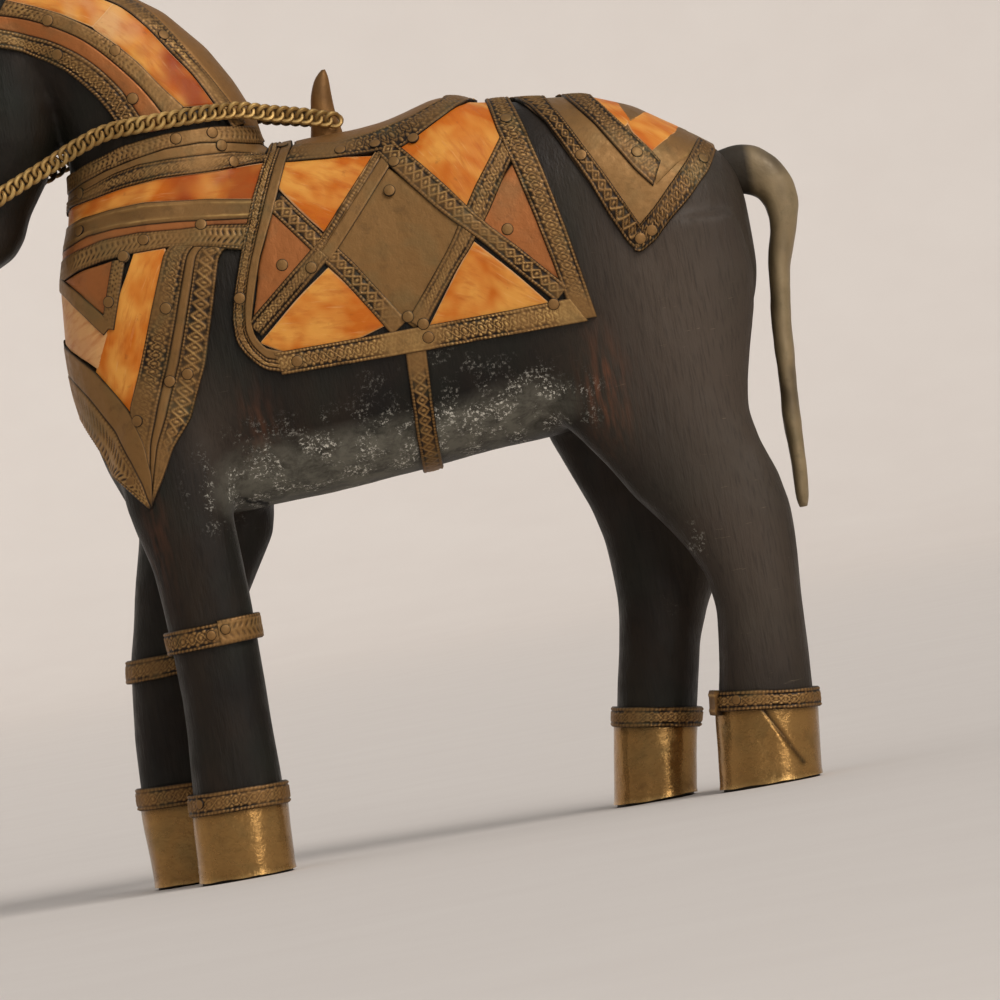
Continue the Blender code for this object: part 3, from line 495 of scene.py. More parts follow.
class Shell:
    """Closed plates gathered into one mesh, with a value of relief and a grain vector at each point."""

    def __init__(self):
        self.points, self.faces, self.values, self.grain, self.count = [], [], [], [], 0
        self.tint = None

    def add(self, points, faces, values, grain=None):
        points = np.asarray(points, float).reshape(-1, 3)
        self.points.append(points)
        self.faces += [tuple(int(i) + self.count for i in face) for face in faces]
        self.values.append(np.asarray(values, float).ravel())
        self.grain.append(points if grain is None else np.asarray(grain, float).reshape(-1, 3))
        self.count += len(points)

    def plate(self, base, out, heights, values, full=False, grain=None):
        """A closed plate over the grid `base`, its top `heights` above it.

        A full plate's underside follows the wood. The others have one flat face a row, which the plate hides.
        """
        rows, wide = heights.shape
        top = base + out * heights[..., None]
        under = base + out * UNDERSIDE
        ids = np.arange(rows * wide).reshape(rows, wide)
        quads = np.stack([ids[:-1, :-1], ids[1:, :-1], ids[1:, 1:], ids[:-1, 1:]], axis=-1).reshape(-1, 4)
        turn = np.cross(base[1:, :-1] - base[:-1, :-1], base[:-1, 1:] - base[:-1, :-1])
        if (turn * out[:-1, :-1]).sum() < 0:
            quads = quads[:, ::-1]
        faces = quads.tolist()
        if full:
            points = np.concatenate([top.reshape(-1, 3), under.reshape(-1, 3)])
            faces += (quads[:, ::-1] + rows * wide).tolist()
            loop = np.concatenate([ids[0], ids[1:, -1], ids[-1, -2::-1], ids[-2:0:-1, 0]])
            for a, b in zip(loop, np.roll(loop, -1)):
                faces.append((a, b, b + rows * wide, a + rows * wide))
        else:
            points = np.concatenate([top.reshape(-1, 3), under[:, 0], under[:, -1]])
            left, right = np.arange(rows) + rows * wide, np.arange(rows) + rows * wide + rows
            for i in range(rows - 1):
                faces.append((left[i], right[i], right[i + 1], left[i + 1]))
                faces.append((ids[i, 0], left[i], left[i + 1], ids[i + 1, 0]))
                faces.append((ids[i, -1], ids[i + 1, -1], right[i + 1], right[i]))
            faces.append([left[0], *ids[0], right[0]])
            faces.append([right[-1], *ids[-1, ::-1], left[-1]])
        extra = len(points) - rows * wide
        if grain is not None:
            grain = np.concatenate([grain.reshape(-1, 3), np.zeros((extra, 3))])
        self.add(points, faces, np.concatenate([values.ravel(), np.zeros(extra)]), grain)

    def done(self, name, material, *nodes, slot=None):
        mesh = bpy.data.meshes.new(name)
        mesh.from_pydata((np.concatenate(self.points) * MM).tolist(), [], self.faces)
        add_values(mesh, "relief", np.concatenate(self.values))
        if self.tint is not None:
            add_values(mesh, "tint", self.tint(np.concatenate(self.points)))
        grain = mesh.attributes.new("grain", "FLOAT_VECTOR", "POINT")
        grain.data.foreach_set("vector", np.concatenate(self.grain).astype(np.float32).ravel())
        bm = bmesh.new()
        bm.from_mesh(mesh)
        bmesh.ops.recalc_face_normals(bm, faces=bm.faces)
        bm.to_mesh(mesh)
        bm.free()
        mesh.polygons.foreach_set("use_smooth", [True] * len(mesh.polygons))
        mesh.set_sharp_from_angle(angle=radians(50))
        obj = bpy.data.objects.new(name, mesh)
        bpy.context.scene.collection.objects.link(obj)
        return settled(obj, material, *nodes, slot=slot)


def settled(obj, material, *nodes, slot=None):
    """Gives the piece its finish and its place in the frame."""
    obj.data.materials.clear()
    obj.data.materials.append(material)
    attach(obj, "root")
    if nodes:
        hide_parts(*nodes)
    return obj


def laid(flat, place, side):
    """The flat grid on the wood: points and normals."""
    spots = np.empty(flat.shape[:2] + (3,))
    normals = np.empty(flat.shape[:2] + (3,))
    for i in range(flat.shape[0]):
        for j in range(flat.shape[1]):
            spots[i, j], normals[i, j] = place.spot(flat[i, j, 0], flat[i, j, 1], side)
    for _ in range(2):
        padded = np.pad(normals, ((1, 1), (1, 1), (0, 0)), mode="edge")
        normals = 2 * normals + padded[:-2, 1:-1] + padded[2:, 1:-1] + padded[1:-1, :-2] + padded[1:-1, 2:]
        normals = unit(normals)
    return spots, normals


def ribbon(shell, edge_a, edge_b, kind, height, place, side=LEFT, full=False, step=STEP, shine=1.0):
    """A strip between two flat lines, with its pattern pressed into it and worn away in places."""
    long = max(length_of(edge_a), length_of(edge_b))
    wide = float(np.linalg.norm(resampled(edge_a, 9) - resampled(edge_b, 9), axis=1).mean())
    coarse, coarse_wide = max(3, int(long / CAST_STEP) + 1), max(3, int(wide / CAST_STEP) + 1)
    share = np.linspace(0, 1, coarse_wide)[None, :, None]
    flat = resampled(edge_a, coarse)[:, None] * (1 - share) + resampled(edge_b, coarse)[:, None] * share
    base, out = laid(flat, place, side)
    count, columns = max(4, int(long / step) + 1), max(5, int(wide / (ACROSS * step / STEP)) + 1)
    base, out = finer(base, count, columns), unit(finer(out, count, columns))
    half = np.maximum(0.5 * np.linalg.norm(np.diff(base, axis=1), axis=2).sum(axis=1), 0.05)[:, None]
    u = run_of(base[:, columns // 2])[:, None]
    v = np.linspace(-1, 1, columns)[None] * half
    rim = np.clip(1.0 - (half - np.abs(v)) / RIM, 0, 1)
    rim = np.maximum(rim, np.clip(1.0 - np.minimum(u, u[-1] - u) / RIM, 0, 1))
    if kind == "bone":
        relief, values = 0.0 * v, rim
        grain = np.stack([u + 0.0 * v, v + 0.0 * u, 0.0 * v + u[-1] + 13.0 * side], axis=-1)
    else:
        twist = 0.28 * uneven(base, 2.4, 6.0)
        relief = PATTERNS[kind](u + twist, v + 0.12 * uneven(base, 1.6, 8.0), half)
        relief = relief * np.clip((half - 0.3) / 0.5, 0, 1)
        kept = np.clip(0.72 + 0.8 * uneven(base, 9.0, 9.0), 0.12, 1.0)
        relief = FLAT_RELIEF + (relief - FLAT_RELIEF) * kept
        values, grain = np.clip(shine * relief * (1 - 0.8 * rim), 0, 1), None
    wave = 0.05 * uneven(base, 5.0) + 0.02 * uneven(base, 1.6, 2.0)
    heights = LIFT + height + RELIEF * relief - RIM_DROP * rim + wave
    shell.plate(base, out, heights, values, full=full, grain=grain)


def strip(shell, centre, width, kind, height, place, side):
    """A strip of even width along a flat centre line."""
    line = resampled(centre, max(3, int(length_of(centre))))
    lead = unit(np.gradient(line, axis=0))
    sideways = np.stack([-lead[:, 1], lead[:, 0]], axis=1) * 0.5 * width
    ribbon(shell, line - sideways, line + sideways, kind, height, place, side)


def tile(shell, outline, height, place, side, angle=0.0, shrink=-1.0, metal=False):
    """A thin tile with a rounded edge that runs a little under the strips round it."""
    loop = place.line(tuple(outline) + (outline[0],))
    count = max(12, int(length_of(loop) / 0.8))
    rim = resampled(loop, count + 1)[:-1]
    centre = rim.mean(axis=0)
    reach = np.linalg.norm(rim - centre, axis=1, keepdims=True)
    ways = (rim - centre) / reach
    rings = [ways * reach * share for share in (0.25, 0.5, 0.72, 0.86)]
    rings += [ways * (reach - inset) for inset in (shrink + 0.7, shrink + 0.25, shrink)]
    drops = [0.0, 0.0, 0.0, 0.0, 0.0, 0.07, 0.24]
    flat = np.stack([centre + ring for ring in rings])
    spots, out = laid(flat, place, side)
    heart, lead = place.spot(centre[0], centre[1], side)
    wave = 0.06 * uneven(spots, 6.0, 1.0)
    top = spots + out * (LIFT + height - np.array(drops)[:, None] + wave)[..., None]
    under = spots[-1] + out[-1] * UNDERSIDE
    points = [heart + unit(lead) * (LIFT + height)] + list(top.reshape(-1, 3)) + list(under)
    points.append(heart + unit(lead) * UNDERSIDE)
    faces = []
    levels = len(rings) + 1
    for i in range(count):
        j = (i + 1) % count
        faces.append((0, 1 + i, 1 + j))
        for ring in range(levels - 1):
            a, b = 1 + ring * count, 1 + (ring + 1) * count
            faces.append((a + i, b + i, b + j, a + j))
        last = 1 + (levels - 1) * count
        faces.append((last + i, len(points) - 1, last + j))
    steps = (0.0, 0.0, 0.0, 0.05, 0.3, 0.8, 1.0, 1.0)
    if metal:
        steps = (0.55, 0.55, 0.55, 0.55, 0.6, 0.75, 0.4, 0.0)
    values = [steps[0]] + sum([[value] * count for value in steps], []) + [steps[-1]]
    spread = np.concatenate([[centre], flat.reshape(-1, 2), flat[-1], [centre]]) - centre
    along = spread @ (cos(angle), sin(angle))
    aside = spread @ (-sin(angle), cos(angle))
    number = centre[0] * 0.37 + centre[1] * 0.61 + side * 7.0
    shell.add(points, faces, values, np.stack([along, aside, np.full(len(along), number)], axis=1))


def tack(shell, place, x, z, side, height, radius=1.45):
    """The low domed head of a nail."""
    row, distance = place.flat(x, z)
    spot, normal = place.spot(row, distance, side)
    normal = unit(normal)
    lead = unit(np.cross(normal, (0.31, 0.2, 0.93)))
    aside = np.cross(normal, lead)
    profile = ((1.0, -0.4), (1.0, 0.0), (0.94, 0.07), (0.85, 0.13), (0.55, 0.2), (0.28, 0.23))
    count = TACK_SIDES
    turns = np.arange(count) * 2.0 * pi / count
    points, values = [], []
    for share, rise in profile:
        ring = lead * np.cos(turns)[:, None] + aside * np.sin(turns)[:, None]
        points.append(spot + ring * radius * share + normal * (LIFT + height + rise))
        values += [0.0 if share > 0.9 else 0.56] * count
    points = np.concatenate(points + [[spot + normal * (LIFT + height + 0.24)], [spot]])
    faces = []
    for level in range(len(profile) - 1):
        for i in range(count):
            j = (i + 1) % count
            a, b = level * count, (level + 1) * count
            faces.append((a + i, a + j, b + j, b + i))
    last = (len(profile) - 1) * count
    for i in range(count):
        j = (i + 1) % count
        faces.append((last + i, last + j, len(points) - 2))
        faces.append((j, i, len(points) - 1))
    shell.add(points, faces, values + [0.56, 0.0])


def srgb(red, green, blue):
    """A colour given from 0 to 255 as the renderer's linear one."""
    parts = [value / 255.0 for value in (red, green, blue)]
    return tuple(p / 12.92 if p <= 0.04045 else ((p + 0.055) / 1.055) ** 2.4 for p in parts) + (1.0,)


class Finish:
    """A node material, its textures placed by the object's own coordinates."""

    def __init__(self, name, **settings):
        self.material = bpy.data.materials.new(name)
        self.material.use_nodes = True
        self.tree = self.material.node_tree
        self.shader = self.tree.nodes["Principled BSDF"]
        self.place = self.node("ShaderNodeTexCoord").outputs["Object"]
        self.colour = None
        for socket, value in settings.items():
            self.shader.inputs[socket.replace("_", " ")].default_value = value

    def node(self, kind, **settings):
        made = self.tree.nodes.new(kind)
        for name, value in settings.items():
            setattr(made, name, value)
        return made

    def feed(self, socket, value):
        if isinstance(value, bpy.types.NodeSocket):
            self.tree.links.new(value, socket)
        else:
            socket.default_value = value

    def noise(self, size, detail=3.0, stretch=(1.0, 1.0, 1.0), source=None, roughness=0.55, twist=0.0):
        """Noise with features of about `size` millimetres, longer by `stretch`."""
        mapping = self.node("ShaderNodeMapping")
        unit_scale = 1.0 if source is not None else 1.0 / MM
        mapping.inputs["Scale"].default_value = [unit_scale / (size * s) for s in stretch]
        self.feed(mapping.inputs["Vector"], self.place if source is None else source)
        texture = self.node("ShaderNodeTexNoise")
        texture.inputs["Scale"].default_value = 1.0
        texture.inputs["Detail"].default_value = detail
        texture.inputs["Roughness"].default_value = roughness
        texture.inputs["Distortion"].default_value = twist
        self.feed(texture.inputs["Vector"], mapping.outputs["Vector"])
        return texture.outputs["Fac"]

    def span(self, value, low, high, to_low=0.0, to_high=1.0):
        """The value carried from the range low to high over to the range to_low to to_high."""
        made = self.node("ShaderNodeMapRange", clamp=True)
        for name, given in zip(("Value", "From Min", "From Max", "To Min", "To Max"),
                               (value, low, high, to_low, to_high)):
            self.feed(made.inputs[name], given)
        return made.outputs["Result"]

    def times(self, a, b):
        return self.maths("MULTIPLY", a, b)

    def maths(self, operation, a, b=0.0):
        made = self.node("ShaderNodeMath", operation=operation)
        self.feed(made.inputs[0], a)
        self.feed(made.inputs[1], b)
        return made.outputs["Value"]

    def mix(self, a, b, share):
        made = self.node("ShaderNodeMix", data_type="RGBA")
        self.feed(made.inputs["Factor"], share)
        self.feed(made.inputs[6], a)
        self.feed(made.inputs[7], b)
        return made.outputs[2]

    def value(self, name, vector=False):
        made = self.node("ShaderNodeAttribute", attribute_name=name)
        return made.outputs["Vector" if vector else "Fac"]

    def coat(self, rgb, share):
        """Lays a colour over what is there, as much of it as `share` says."""
        self.colour = self.mix(self.colour, srgb(*rgb), share)

    def bump(self, height, depth, normal=None):
        made = self.node("ShaderNodeBump")
        made.inputs["Strength"].default_value = 1.0
        made.inputs["Distance"].default_value = depth * MM
        self.feed(made.inputs["Height"], height)
        if normal is not None:
            self.feed(made.inputs["Normal"], normal)
        return made.outputs["Normal"]

    def end(self, rough, normal):
        self.feed(self.shader.inputs["Base Color"], self.colour)
        self.feed(self.shader.inputs["Roughness"], rough)
        self.feed(self.shader.inputs["Normal"], normal)
        return self.material


# The crack in x and z: the line that it follows, then its middle and how far it reaches to each side.
CRACK = ((-42.5, 90.0), (-32.0, 84.2))
CRACK_MIDDLE, CRACK_REACH = -37.4, 5.6


def crack_in(f):
    """1 in the thin dry crack low on the left side, where the belly meets the front leg."""
    axes = f.node("ShaderNodeSeparateXYZ")
    f.feed(axes.inputs["Vector"], f.place)
    wander = f.span(f.noise(2.6, 4.0), 0.3, 0.7, -0.9 * MM, 0.9 * MM)
    (x_from, z_from), (x_to, z_to) = CRACK
    level = f.span(axes.outputs["X"], x_from * MM, x_to * MM, z_from * MM, z_to * MM)
    level = f.maths("ADD", level, wander)
    away = f.maths("ABSOLUTE", f.maths("SUBTRACT", axes.outputs["Z"], level))
    along = f.maths("ABSOLUTE", f.maths("ADD", axes.outputs["X"], -CRACK_MIDDLE * MM))
    ends = f.span(along, 3.0 * MM, CRACK_REACH * MM, 1.0, 0.0)
    left = f.span(axes.outputs["Y"], -2.0 * MM, 0.0, 1.0, 0.0)
    return f.times(f.span(away, 0.2 * MM, 0.7 * MM, 1.0, 0.0), f.times(ends, left))


def wood_finish():
    f = Finish("dark_wood", Specular_IOR_Level=0.22)
    grain = f.noise(0.5, 4.0, (1.0, 1.0, 14.0))
    broad = f.noise(13.0, 3.0, (1.0, 1.0, 2.2))
    sheen_and_grey, dust = f.value("sheen_and_grey"), f.value("dust")
    f.colour = f.mix(srgb(17, 13, 9), srgb(36, 27, 18), f.span(broad, 0.35, 0.7))
    f.coat((24, 28, 20), f.span(f.noise(22.0, 2.0), 0.42, 0.68, 0.0, 0.6))
    # Painted sheen: the haunch and the other grey patches are lightened towards this pale grey brown.
    f.coat((84, 72, 62), f.times(sheen_and_grey, 0.8))
    f.coat((12, 9, 7), f.span(grain, 0.5, 0.74, 0.0, 0.4))
    scratch = f.times(sheen_and_grey, f.span(f.noise(0.5, 2.0, (11.0, 11.0, 1.0), twist=1.2), 0.72, 0.78))
    f.coat((128, 112, 94), f.times(scratch, 0.6))
    streaks = f.span(f.noise(1.4, 4.0, (1.0, 1.0, 6.0)), 0.4, 0.66, 0.0, 0.85)
    f.coat((100, 60, 38), f.times(f.value("rubbed"), streaks))
    film = f.span(f.noise(4.0, 7.0, (1.6, 1.6, 1.0), roughness=0.74, twist=0.4), 0.34, 0.56, 0.2, 1.0)
    dusty = f.times(f.span(dust, 0.35, 1.0), film)
    f.coat((112, 109, 98), f.times(dusty, 0.92))
    flecks = f.span(f.noise(0.8, 5.0, roughness=0.75), 0.54, 0.6)
    flecks = f.times(flecks, f.span(f.noise(6.0, 4.0), 0.48, 0.6))
    f.coat((214, 210, 198), f.times(f.span(dust, 0.1, 0.7), flecks))
    crack = crack_in(f)
    f.coat((8, 6, 5), f.times(crack, 0.95))
    rough = f.span(f.noise(6.0, 4.0), 0.3, 0.7, 0.42, 0.64)
    rough = f.maths("ADD", rough, f.times(dusty, 0.3))
    normal = f.bump(grain, 0.12)
    normal = f.bump(f.maths("SUBTRACT", 1.0, crack), 0.5, normal)
    normal = f.bump(f.noise(2.2, 5.0, (1.0, 1.0, 2.5)), 0.28, normal)
    return f.end(rough, normal)


def metal_finish(name, dark, mid, bright, gloss=(0.42, 0.62), stain=0.4, metal=0.6):
    """Patinated metal: dark in the hollows and at the rims, brighter on the high places. On the chain and the
    tail the relief also carries painted highlight and painted shade.
    """
    f = Finish(name, Metallic=metal)
    relief = f.value("relief")
    worn = f.span(f.noise(8.0, 3.0), 0.4, 0.66, 0.25, 0.95)
    f.colour = f.mix(srgb(*dark), srgb(*mid), f.span(relief, 0.08, 0.54))
    f.coat(bright, f.times(f.span(relief, 0.56, 0.95), worn))
    f.coat(dark, f.span(f.noise(3.4, 5.0, roughness=0.66), 0.54, 0.78, 0.0, stain))
    f.coat((98, 92, 60), f.span(f.noise(9.0, 3.0, twist=0.6), 0.5, 0.72, 0.0, 0.3))
    f.coat((34, 27, 19), f.value("root"))
    rough = f.span(f.noise(1.8, 4.0), 0.3, 0.7, *gloss)
    normal = f.bump(f.noise(0.5, 3.0), 0.04)
    normal = f.bump(f.noise(3.0, 3.0), 0.16, normal)
    return f.end(rough, normal)


def bone_finish():
    """Stained bone: cream under burnt orange that runs in streaks."""
    f = Finish("stained_bone", Subsurface_Weight=0.05, Subsurface_Scale=0.002, Specular_IOR_Level=0.14)
    grain = f.value("grain", vector=True)
    tint = f.value("tint")
    streaks = f.noise(1.7, 5.0, (4.0, 1.0, 1.0), grain, roughness=0.6, twist=0.2)
    pools = f.noise(9.0, 2.0, (1.3, 1.0, 1.0), grain, twist=0.3)
    pale = f.noise(0.8, 3.0, (9.0, 1.0, 1.0), grain)
    f.colour = f.mix(srgb(216, 150, 68), srgb(192, 102, 26), f.span(pools, 0.38, 0.6))
    f.coat((210, 168, 118), f.span(tint, -1.0, 0.0, 0.75, 0.0))
    f.coat((138, 50, 12), f.span(tint, 0.0, 1.0, 0.0, 0.85))
    f.coat((168, 76, 20), f.span(streaks, 0.5, 0.76, 0.0, 0.6))
    f.coat((232, 190, 132), f.span(pale, 0.62, 0.78, 0.0, 0.3))
    f.coat((224, 190, 146), f.span(f.value("relief"), 0.55, 1.0, 0.0, 0.6))
    f.coat((92, 58, 36), f.span(f.noise(3.2, 4.0), 0.66, 0.8, 0.0, 0.5))
    rough = f.span(f.noise(2.0, 3.0), 0.3, 0.7, 0.4, 0.56)
    normal = f.bump(streaks, 0.08)
    normal = f.bump(f.noise(4.0, 2.0), 0.16, normal)
    return f.end(rough, normal)


def horse_materials():
    """The finishes. A metal has its colour in the hollows, on the sheet and on the marks, then its gloss."""
    metals = {
        "brass": ("patinated_brass", (34, 23, 12), (130, 95, 52), (200, 162, 98)),
        "sheet": ("smooth_brass", (56, 39, 22), (138, 98, 52), (160, 119, 69), (0.48, 0.64), 0.3),
        "hoof": ("hoof_brass", (58, 41, 24), (146, 110, 62), (200, 164, 104), (0.2, 0.3), 0.35, 0.8),
        "copper": ("copper_sheet", (70, 38, 20), (158, 96, 48), (178, 116, 64), (0.4, 0.56), 0.35),
        "chain": ("chain_brass", (44, 30, 14), (140, 106, 56), (220, 184, 116)),
        "tail": ("tail_brass", (66, 54, 38), (138, 119, 88), (170, 150, 114), (0.46, 0.62), 0.4, 0.3),
    }
    made = {key: metal_finish(*settings) for key, settings in metals.items()}
    made.update(wood=wood_finish(), bone=bone_finish())
    return made


MATERIAL = horse_materials()
BODY = carved_body()
WOOD = tree_of(BODY)
age_body(BODY)
settled(BODY, MATERIAL["wood"], "wooden_body")


def barrel_tree():
    bm = bmesh.new()
    loft_into(bm, barrel_rows(), BARREL_POWER, 0.0, 48)
    ruler = joined(bm, "ruler", 2.0, 4)
    tree = tree_of(ruler)
    bpy.data.objects.remove(ruler, do_unlink=True)
    return tree


CHEST = Round(WOOD, WOOD, np.arange(86.0, 181.0, 2.0), True, -46.0, 168.0)
BACK = Round(WOOD, barrel_tree(), np.arange(-40.0, 88.5, 2.0), False, 130.0, 178.0)
SIDE = Beside(WOOD)


def between(line_a, line_b, low, high):
    """Two lines at shares `low` and `high` of the way from one line to the other."""
    a, b = (resampled(np.array(line, float), 40) for line in (line_a, line_b))
    return [tuple(p) for p in a + (b - a) * low], [tuple(p) for p in a + (b - a) * high]


# Saddle cloth.
FRONT_OUTER = ((-20.7, 172), (-20.7, 170), (-23.3, 165.3), (-26.7, 158.7), (-30, 150.7), (-32.7, 143.3),
               (-35, 136.7), (-36.3, 131.3), (-36.3, 126), (-34.3, 122), (-30.7, 118.3), (-25.3, 116.7))
FRONT_INNER = ((-15.2, 172), (-15.3, 169.3), (-17.3, 166), (-20, 160), (-22.7, 154), (-27.3, 144.7),
               (-30, 136.7), (-32, 130), (-31.7, 126.7), (-29.8, 123.4), (-25.3, 121.8))
REAR_OUTER = ((36.9, 174), (40, 164), (42.7, 152.7), (45.3, 140), (47.3, 128), (49, 117))
REAR_INNER = ((31.7, 174), (33.3, 164.7), (36, 154), (38.7, 142), (41, 130.7), (43.4, 117))
TOP_UPPER = ((-14.7, 169.3), (-4.7, 168), (3.3, 168.7), (13.3, 170.7), (20.7, 173.3), (25, 175.6))
TOP_LOWER = (
    (-17.3, 165.7), (-7.3, 164.7), (2.7, 164.3), (10.7, 164.3), (16.7, 167.3), (23.3, 170.7), (30, 173.6),
)
HEM_UPPER = ((-28, 122), (-10, 121.9), (10, 122), (30, 122.1), (43.4, 122.4))
HEM_LOWER = ((-27, 116.5), (-10, 116.3), (10, 116.3), (30, 116.3), (46.8, 116.4))
LATTICE = (
    (((-31.5, 128.2), (-12.5, 143.5)), 4.8, "vine", 0.80),
    (((-13.6, 143.9), (4.9, 163.9)), 2.3, "beaded", 0.78),
    (((-12, 142.2), (6.8, 162.4)), 3.2, "plain", 0.72),
    (((6.5, 165), (21.3, 146.7), (41.7, 123.6)), 5, "lace", 0.95),
    (((-21.5, 157), (-13.3, 146), (-7.3, 138), (2.4, 122.5)), 4.8, "lace", 0.64),
    (((6.2, 122.5), (20, 139.3), (26.7, 148.7), (36, 161.7)), 4.8, "vine", 0.68),
)
DIAMOND = ((5.7, 160.3), (21.7, 142.7), (6, 122.5), (-9.7, 142.3))
SADDLE_BONES = (
    (((-17.3, 165.7), (2.7, 163.3), (-10, 147.3), (-19.7, 160.7)), 0.6),
    (((10.7, 164.3), (20, 169.3), (28, 172.4), (31.7, 171.6), (33.3, 165.3), (33.3, 161.3),
      (22.7, 147.3)), 1.1),
    (((-12, 138.7), (-1.3, 124), (-10, 121.9), (-18, 121.4), (-24.7, 122), (-30, 125)), 0.15),
    (((23.4, 138.6), (37.6, 122.2), (9.6, 121.4)), 0.5),
)
SADDLE_COPPERS = (
    ((-22.6, 154.6), (-13.6, 143.4), (-31.6, 129.6)),
    ((36.4, 156), (42, 127), (24.6, 143.4)),
)
SADDLE_TACKS = (
    (-17.5, 169.4), (-4.1, 165.9), (4.4, 165.9), (8.1, 161.1), (5.8, 154.7), (4.8, 124.8), (8.1, 122.5),
    (8.7, 119.2), (-22.9, 119.1), (-33.7, 136.1), (-15.7, 140.2), (36, 166.3), (39.3, 121.7), (13.7, 165.7),
)


def bone_tiles(piece, node, outlines, place, side, word, pale=0):
    """The bone tiles of one side, one piece each. The tile with the number `pale` is nearly unstained."""
    for number, (outline, angle) in enumerate(outlines, 1):
        shell = Shell()
        tile(shell, outline, BONE, place, side, angle)
        if number == pale:
            shell.tint = lambda spots: np.full(len(spots), -0.9)
        shell.done(f"{piece}_{number}_{word}", MATERIAL["bone"], f"{node}_{number}_{word}")


def saddle():
    shell = Shell()
    for low, high, kind, height in ((0.0, 0.56, "vine", 0.88), (0.56, 1.0, "plain", 0.8)):
        a, b = between(FRONT_OUTER, FRONT_INNER, low, high)
        ribbon(shell, BACK.over(a), BACK.over(b), kind, height, BACK)
    ribbon(shell, BACK.over(REAR_OUTER), BACK.over(REAR_INNER), "vine", 0.85, BACK)
    for side, _ in SIDES:
        for line, width, kind, height in LATTICE:
            strip(shell, BACK.line(line), width, kind, height, BACK, side)
        ribbon(shell, BACK.line(HEM_LOWER), BACK.line(HEM_UPPER), "vine", 0.98, BACK, side, shine=1.4)
        ribbon(shell, BACK.line(TOP_LOWER), BACK.line(TOP_UPPER), "vine", 0.92, BACK, side)
        tile(shell, DIAMOND, SHEET, BACK, side, metal=True)
    shell.done("saddle_strips", MATERIAL["brass"], "saddle_frame")
    seat = Shell()
    edge = BACK.line(TOP_UPPER)
    ribbon(seat, edge * (1.0, -1.0), edge, "plain", 0.35, BACK, full=True, step=PLATE_STEP)
    seat.done("seat_plate", MATERIAL["sheet"], "saddle_seat")
    for side, word in SIDES:
        bone_tiles("cloth_bone", "saddle_bone", SADDLE_BONES, BACK, side, word)
        for number, outline in enumerate(SADDLE_COPPERS, 1):
            shell = Shell()
            tile(shell, outline, SHEET, BACK, side, metal=True)
            shell.done(f"cloth_copper_{number}_{word}", MATERIAL["copper"], f"saddle_copper_{number}_{word}")


# Edges of the collar's bands, from the top down.
COLLAR_EDGES = (
    ((-71.5, 171.9), (-64, 174.4), (-55, 177), (-45, 178), (-33.6, 177.8), (-21.4, 176.2)),
    ((-71, 167.6), (-65.7, 170), (-59.7, 171.8), (-52.3, 173.3), (-45, 174.4), (-37, 174.4), (-30, 173.3),
     (-20.8, 171.2)),
    ((-72, 165.8), (-65, 168.4), (-58, 170.7), (-52, 171.8), (-45, 171.8), (-30, 171), (-20.8, 168.7)),
    ((-73, 162.6), (-69.4, 165), (-64, 165.8), (-56.7, 167), (-47.8, 167.7), (-37, 167.3), (-22.6, 166.9)),
    ((-74, 158.8), (-72.4, 160), (-67, 161.7), (-59.7, 162.5), (-52.3, 162.7), (-44.8, 161.7),
     (-37.3, 160.6), (-25.6, 158.4)),
    ((-75, 153.4), (-73.2, 154.6), (-67, 157), (-59.7, 157.6), (-52, 157.2), (-44.8, 156.5), (-37, 155.4),
     (-27.6, 154.2)),
    ((-75.6, 152), (-70, 154), (-63.5, 155.4), (-55, 155.7), (-44.8, 154.6), (-37, 154.3), (-28.2, 153)),
    ((-76, 146.6), (-74.7, 147.5), (-70, 149.4), (-64, 150.5), (-56.7, 151), (-49.3, 151), (-41, 149.8),
     (-31.2, 147.2)),
)
COLLAR_TACKS = (
    (-42.2, 176.3), (-33.8, 176.3), (-32.2, 172.9), (-66.3, 167.7), (-30.1, 168.6), (-68.1, 158.5),
    (-53.7, 153.7), (-39.7, 154.8), (-58.9, 150.5),
)


def collar():
    edges = [CHEST.over(edge) for edge in COLLAR_EDGES]
    upper = Shell()
    ribbon(upper, edges[1], edges[0], "leaves", 0.55, CHEST)
    ribbon(upper, edges[2], edges[1], "plain", 0.35, CHEST)
    ribbon(upper, edges[3], edges[2], "vine", 0.62, CHEST)
    upper.done("collar_bands_upper", MATERIAL["brass"], "collar_upper")
    bone = Shell()
    ribbon(bone, edges[4], edges[3], "bone", BONE - 0.2, CHEST, step=BONE_STEP)
    bone.tint = lambda at: np.clip(0.3 + (at[:, 0] + 52.0) / 40.0 + 0.6 * uneven(at, 3.6), -0.7, 0.95)
    bone.done("collar_bone_band", MATERIAL["bone"], "collar_bone")
    lower = Shell()
    ribbon(lower, edges[5], edges[4], "ribbed", 0.5, CHEST)
    ribbon(lower, edges[7], edges[6], "leaves", 0.62, CHEST)
    lower.done("collar_bands_lower", MATERIAL["brass"], "collar_lower")
    for side, word in SIDES:
        sliver = Shell()
        ribbon(sliver, CHEST.line(COLLAR_EDGES[6]), CHEST.line(COLLAR_EDGES[5]), "plain", 0.4, CHEST, side)
        sliver.done("collar_sliver_" + word, MATERIAL["copper"], "collar_copper_" + word)


# Chest drop.
DROP_RIGHT = ((-34.6, 148.4), (-36.7, 147), (-40.3, 135), (-44.5, 122), (-50.3, 110), (-55.5, 104),
              (-59.3, 97), (-63, 90.8))
DROP_LEFT = ((-47.6, 151.4), (-49.5, 150), (-54.2, 138.5), (-58.8, 127), (-63.7, 114.8), (-64.6, 108),
             (-64.4, 99), (-63.6, 91))
NOTCH_UPPER = ((-78.2, 135), (-77.5, 134), (-70, 125), (-63.7, 114.2), (-62, 106), (-61.6, 98), (-62.6, 91.2))
NOTCH_LOWER = ((-78.2, 121), (-77.4, 120), (-74.5, 112), (-72, 106), (-70, 100), (-66, 94), (-63.4, 90.6))
